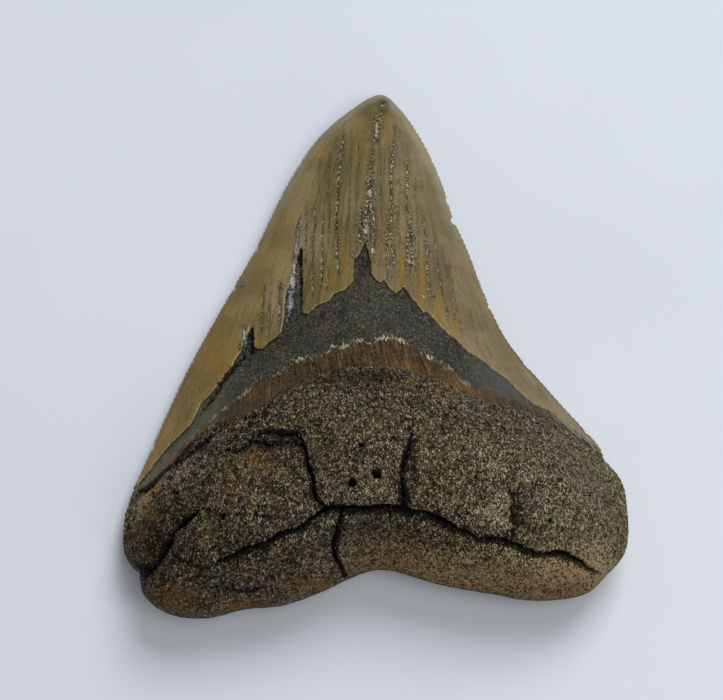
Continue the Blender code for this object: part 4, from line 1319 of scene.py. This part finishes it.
# %% Masks
sides = add(tree, "ShaderNodeSeparateXYZ", {"Vector": place_mm})
side = sides.outputs["X"]
tip_ward = sides.outputs["Y"]
speckled_chalk = add(tree, "ShaderNodeMath", {0: grains, 1: 0.9, 2: told["chalk"]},
                     operation="MULTIPLY_ADD").outputs[0]
shade_grains = add(tree, "ShaderNodeMath", {0: grains, 1: -0.9, 2: told["painted_shade"]},
                   operation="MULTIPLY_ADD").outputs[0]
gape_shade_grains = add(tree, "ShaderNodeMath", {0: grains, 1: -0.7, 2: told["gape_and_shade"]},
                    operation="MULTIPLY_ADD").outputs[0]

# name: (value, from, to), 0 at from and 1 at to.
RANGES = {
    # The first two are painted shade: dark round cracks, holes and pits, and black in their gaps.
    "painted_shade": (shade_grains, -0.2, 0.3),
    "gape_and_shade": (gape_shade_grains, 0.0, 0.3),
    "is_enamel": (told["enamel"], -0.04, 0.06),
    "is_bone": (told["bone"], -0.2, 0.5),
    "enamel_lip": (told["enamel"], 0.26, 0.06),
    "shade_under": (told["enamel"], -0.28, -0.05),
    "lighter": (told["tone_and_light"], 0.0, 0.3),
    "darker": (told["tone_and_light"], 0.0, -0.3),
    "hair_dark": (hairlines, 0.44, 0.32),
    "hair_pale": (hairlines, 0.6, 0.74),
    "fissure_dark": (told["fissure"], 2.8, 0.7),
    "fissure_core": (told["fissure"], 0.95, 0.35),
    "bead": (beads, 0.54, 0.62),
    "cream_end": (side, 26.0, 12.0),
    "far_right": (side, 34.0, 42.0),
    "cloud_olive": (clouds, 0.4, 0.6),
    # Pale band along the rim near the tip: worn thin enamel and a painted highlight.
    "pale_rim_and_highlight": (told["rim"], 3.0, 0.3),
    "near_tip": (tip_ward, 12.0, 42.0),
    "fissure_near": (told["fissure"], 3.8, 1.0),
    "speck": (grains, 0.62, 0.78),
    "dark_speck": (grains, 0.42, 0.3),
    "frayed": (frays, 0.42, 0.58),
    "pore": (crumbs, 0.4, 0.3),
    "low_rim": (told["rim"], 7.0, 1.0),
    "chalky": (speckled_chalk, 1.0, 1.28),
    "chalk_ground": (told["chalk"], 0.1, 0.6),
    "band_left": (side, -27.0, -38.0),
    "far_left": (side, -35.0, -44.0),
    "band_right": (side, 16.0, 28.0),
    "left_half": (side, -4.0, -44.0),
    "lit_right_half": (side, 8.0, 50.0),
    "lobe": (side, -38.0, -46.0),
    "right_end": (side, 26.0, 46.0),
    "not_left": (side, -18.0, 2.0),
    "not_right": (side, 8.0, -8.0),
    "hot_grain": (hue, 0.7, 0.84),
    "off_slits": (side, -14.0, -11.0),
    "cold_grain": (hue, 0.3, 0.16),
    "bright_grain": (grains, 0.5, 0.75),
    "patch": (patches, 0.45, 0.62),
}
mask = {}
for name, (value, start, end) in RANGES.items():
    mask[name] = add(tree, "ShaderNodeMapRange",
                     {"Value": value, "From Min": start, "From Max": end},
                     interpolation_type="SMOOTHSTEP").outputs["Result"]
for name in ("gold", "rust", "smoke_and_shade", "tone_and_light"):
    mask[name] = told[name]

# (name, first mask, second mask)
for name, first, second in [
    ("fissure_bead", "fissure_core", "bead"),
    ("fissure_stain", "fissure_dark", "frayed"),
    ("chalk_grain", "chalky", "chalk_ground"),
    ("shade_left", "shade_under", "not_right"),
    ("smoke_grain", "smoke_and_shade", "dark_speck"),
    ("smoke_bead", "smoke_and_shade", "speck"),
    ("fissure_peck", "fissure_near", "dark_speck"),
    ("worn_rim_and_highlight", "pale_rim_and_highlight", "near_tip"),
    ("low_right", "low_rim", "not_left"),
    ("low_dark", "low_right", "dark_speck"),
    ("low_speck", "low_right", "speck"),
    ("chalk_cream", "chalk_grain", "off_slits"),
    ("lip_worn", "enamel_lip", "frayed"),
    ("pale_left", "left_half", "hair_pale"),
    ("dark_left", "left_half", "hair_dark"),
    ("streak_left", "band_left", "hair_pale"),
    ("streak_right", "band_right", "hair_pale"),
    ("hot", "hot_grain", "bright_grain"),
    ("cold", "cold_grain", "bright_grain"),
]:
    mask[name] = add(tree, "ShaderNodeMath", {0: mask[first], 1: mask[second]},
                     operation="MULTIPLY").outputs[0]
print("masks:", len(mask))

# %% [markdown]
# ## Coats of colour
# Colour is laid on in coats, as a painter glazes a cast: a ground, then stains, streaks,
# flecks and painted shade, each through its own mask. The ground of dentine, brown band and
# bone is a ramp over their grains or fibres, and masks shift where on the ramp a place lies,
# so smoke stains and painted shade give darker grains but the same kinds of them.

# %% Coats of colour
enamel_finish = glaze(enamel_colour, [
    ("#524e2f", 0.4, mask["cloud_olive"]),
    ("#a3936f", 0.6, mask["lighter"]),
    ("#3f3822", 0.6, mask["darker"]),
    ("#3b331e", 0.75, mask["hair_dark"]),
    ("#9d8a62", 0.3, mask["hair_pale"]),
    ("#8c6c29", 0.75, mask["gold"]),
    ("#93774f", 0.4, mask["far_left"]),
    ("#8d7d6c", 0.4, mask["far_right"]),
    ("#403c26", 0.4, mask["smoke_and_shade"]),
    ("#1c180d", 0.85, mask["smoke_grain"]),
    ("#b3a87f", 0.7, mask["smoke_bead"]),
    # Worn thin enamel at the tip's rim, with a painted highlight.
    ("#a19a86", 0.6, mask["worn_rim_and_highlight"]),
    ("#43281b", 0.75, mask["rust"]),
    ("#2b2718", 0.6, mask["fissure_peck"]),
    ("#3d3927", 0.35, mask["fissure_stain"]),
    ("#262013", 0.7, mask["fissure_core"]),
    ("#b6ac88", 0.9, mask["fissure_bead"]),
    ("#8b7743", 0.25, mask["enamel_lip"]),
    ("#b0a06c", 0.6, mask["lip_worn"]),
])


def shaded(value, ramp, shifts):
    """A ramp of colours over a pattern that named masks make lighter or darker."""
    for name, amount in shifts:
        value = add(tree, "ShaderNodeMath", {0: mask[name], 1: amount, 2: value},
                    operation="MULTIPLY_ADD").outputs[0]
    return add(tree, "ShaderNodeValToRGB", {"Fac": value}, stops=ramp).outputs["Color"]


dentine_finish = glaze(
    shaded(grains, [(0.05, "#0d0c0a"), (0.3, "#1f1e1a"), (0.5, "#383731"), (0.66, "#4a483d"),
                    (0.85, "#666351"), (1.0, "#8a8468")],
           [("band_left", 0.14), ("band_right", 0.03), ("smoke_and_shade", -0.1), ("cloud_olive", -0.09),
            ("tone_and_light", 1.0)]),
    [
        ("#3f3e38", 0.35, mask["frayed"]),
        ("#6b685c", 0.6, mask["band_left"]),
        ("#555651", 0.6, mask["band_right"]),
        ("#35331f", 0.3, mask["patch"]),
        ("#8b8a80", 0.45, mask["streak_left"]),
        ("#82878a", 0.5, mask["streak_right"]),
        ("#85817a", 0.7, mask["far_right"]),
        ("#0c0b0a", 0.6, mask["shade_left"]),
    ])

brown_finish = glaze(
    shaded(fibre_tone, [(0.33, "#20170d"), (0.43, "#312516"), (0.5, "#3e2d1b"), (0.58, "#4e3b22"),
                        (0.7, "#745a33")],
           [("smoke_and_shade", -0.1), ("gold", 0.06), ("tone_and_light", 1.0)]),
    [
        ("#4b4129", 0.3, mask["left_half"]),
        ("#17130b", 0.7, mask["dark_left"]),
        ("#8f7a48", 0.6, mask["pale_left"]),
        ("#8a6128", 0.5, mask["gold"]),
        ("#17120c", 0.4, mask["dark_speck"]),
        ("#8f7d52", 0.25, mask["speck"]),
    ])

# A tint changes the hue of every grain and keeps it as light or dark as it was.
bone_tints = [
    ("#8a6420", 0.38, mask["gold"]),
    ("#84481a", 0.5, mask["rust"]),
    ("#7a5a26", 0.3, mask["lobe"]),
    ("#7a5824", 0.12, mask["low_right"]),
]
bone_finish = glaze(glaze(
    shaded(grains, [(0.1, "#030302"), (0.28, "#151209"), (0.42, "#2b271c"), (0.53, "#3d382b"),
                    (0.66, "#57503e"), (0.8, "#827a62"), (0.95, "#c2b89c")],
           # Painted shade darkens the bone's left half, and painted light lifts its right half and
           # low right side.
           [("left_half", -0.05), ("lit_right_half", 0.07), ("smoke_and_shade", -0.09), ("gold", 0.06),
            ("low_right", 0.05), ("tone_and_light", 1.0)]),
    bone_tints, "COLOR"),
    [
        ("#94672a", 0.42, mask["hot"]),
        ("#8f9088", 0.35, mask["cold"]),
        ("#5c4c2a", 0.2, mask["patch"]),
        ("#7f6430", 0.18, mask["gold"]),
        ("#5d543e", 0.15, mask["right_end"]),
        ("#6b451d", 0.18, mask["rust"]),
        ("#0d0a06", 0.6, mask["low_dark"]),
        ("#a08a5c", 0.35, mask["low_speck"]),
        ("#0b0a07", 0.7, mask["pore"]),
    ])
print("finishes: enamel, dentine, brown band, bone")

# %% [markdown]
# ## The bands and their ragged borders
# Under the enamel, the dark dentine ends in a frayed cream line, and a rust-brown band of
# fibres lies between it and the rough bone. The borders are stored distances pushed to
# and fro by the fray pattern, so they run out in little points along the fibres.

# %% The bands and their ragged borders
FRAY_REACH = 2.0
# The cream line is broken: its half width varies between these, and below 0 it is gone.
CREAM_HALF = (-0.1, 0.24)
CREAM_SOFT = 0.12

push = add(tree, "ShaderNodeMath", {0: frays, 1: 2 * FRAY_REACH, 2: -FRAY_REACH},
           operation="MULTIPLY_ADD")
cream_at = add(tree, "ShaderNodeMath", {0: told["cream"], 1: push.outputs[0]}, operation="ADD")
is_brown = add(tree, "ShaderNodeMapRange",
               {"Value": cream_at.outputs[0], "From Min": 0.1, "From Max": -0.1})
cream_off = add(tree, "ShaderNodeMath", {0: cream_at.outputs[0]}, operation="ABSOLUTE")
cream_width = add(tree, "ShaderNodeMapRange",
                  {"Value": patches, "From Min": 0.42, "From Max": 0.66,
                   "To Min": CREAM_HALF[0], "To Max": CREAM_HALF[1]})
cream_gap = add(tree, "ShaderNodeMath",
                {0: cream_off.outputs[0], 1: cream_width.outputs["Result"]},
                operation="SUBTRACT")
cream_band = add(tree, "ShaderNodeMapRange",
                 {"Value": cream_gap.outputs[0], "From Min": CREAM_SOFT, "From Max": 0.0})
cream_far = add(tree, "ShaderNodeMapRange",
                {"Value": across.outputs["X"], "From Min": -46.0, "From Max": -24.0})
cream_left = add(tree, "ShaderNodeMath",
                 {0: cream_band.outputs["Result"], 1: cream_far.outputs["Result"]},
                 operation="MULTIPLY")
cream_part = add(tree, "ShaderNodeMath", {0: cream_left.outputs[0], 1: mask["cream_end"]},
                 operation="MULTIPLY")

skin = glaze(dentine_finish, [
    (brown_finish, 1.0, is_brown.outputs["Result"]),
    ("#b3aa94", 0.95, cream_part.outputs[0]),
    (bone_finish, 1.0, mask["is_bone"]),
    (enamel_finish, 1.0, mask["is_enamel"]),
    ("#1f1e1b", 0.7, mask["chalk_ground"]),
    ("#a6aaaa", 0.95, mask["chalk_grain"]),
    ("#b5a983", 0.9, mask["chalk_cream"]),
    # Painted shade round cracks, holes, pits and ledges.
    ("#0b0a08", 0.85, mask["painted_shade"]),
    # The gaps of cracks and holes are painted black as shade.
    ("#060504", 1.0, mask["gape_and_shade"]),
])
tree.links.new(skin, shader.inputs["Base Color"])
print("bands laid; nodes so far:", len(tree.nodes))

# %% [markdown]
# ## Gloss and fine relief
# Roughness follows the material under the finger: satin enamel, dull dentine, dry bone. A
# surface that is finely pitted all over mirrors less than polished stone, so the specular
# level is low. The finest relief is bump, in true heights: fibres on the enamel, and the
# grains and crumbs of the bone.

# %% Gloss and fine relief
ENAMEL_ROUGHNESS = 0.48
DENTINE_ROUGHNESS = 0.65
BONE_ROUGHNESS = 0.78
UNEVEN_GLOSS = 0.1
SPECULAR_LEVEL = 0.14

dullness = add(tree, "ShaderNodeMix",
               {0: mask["is_enamel"], 2: DENTINE_ROUGHNESS, 3: ENAMEL_ROUGHNESS},
               data_type="FLOAT")
dry = add(tree, "ShaderNodeMix",
          {0: mask["is_bone"], 2: dullness.outputs[0], 3: BONE_ROUGHNESS}, data_type="FLOAT")
uneven = add(tree, "ShaderNodeMath", {0: clouds, 1: 2 * UNEVEN_GLOSS, 2: -UNEVEN_GLOSS},
             operation="MULTIPLY_ADD")
gloss = add(tree, "ShaderNodeMath", {0: dry.outputs[0], 1: uneven.outputs[0]}, operation="ADD")
tree.links.new(gloss.outputs[0], shader.inputs["Roughness"])
shader.inputs["Specular IOR Level"].default_value = SPECULAR_LEVEL

# Heights in millimetres: (pattern, height, where).
FINE_RELIEF = [
    (hairlines, 0.04, mask["is_enamel"]),
    (grains, 0.16, mask["is_bone"]),
    (crumbs, 0.45, mask["is_bone"]),
    (frays, 0.06, None),
]
height = None
for source, tall, amount in FINE_RELIEF:
    rise = add(tree, "ShaderNodeMath", {0: source, 1: tall}, operation="MULTIPLY").outputs[0]
    if amount is not None:
        rise = add(tree, "ShaderNodeMath", {0: rise, 1: amount}, operation="MULTIPLY").outputs[0]
    if height is not None:
        rise = add(tree, "ShaderNodeMath", {0: height, 1: rise}, operation="ADD").outputs[0]
    height = rise
relief = add(tree, "ShaderNodeBump", {"Height": height, "Strength": 1.0, "Distance": MM})
tree.links.new(relief.outputs["Normal"], shader.inputs["Normal"])
print("nodes in the fossil's material:", len(tree.nodes))

# %% [markdown]
# ## Put the tooth on its body
# The finished skin stands for the plain solid tooth and moves with it.

# %% Put the tooth on its body
mesh.materials.append(fossil)
tooth = bpy.data.objects.new("tooth_fossil", mesh)
bpy.context.scene.collection.objects.link(tooth)
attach(tooth, "root")
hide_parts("tooth")
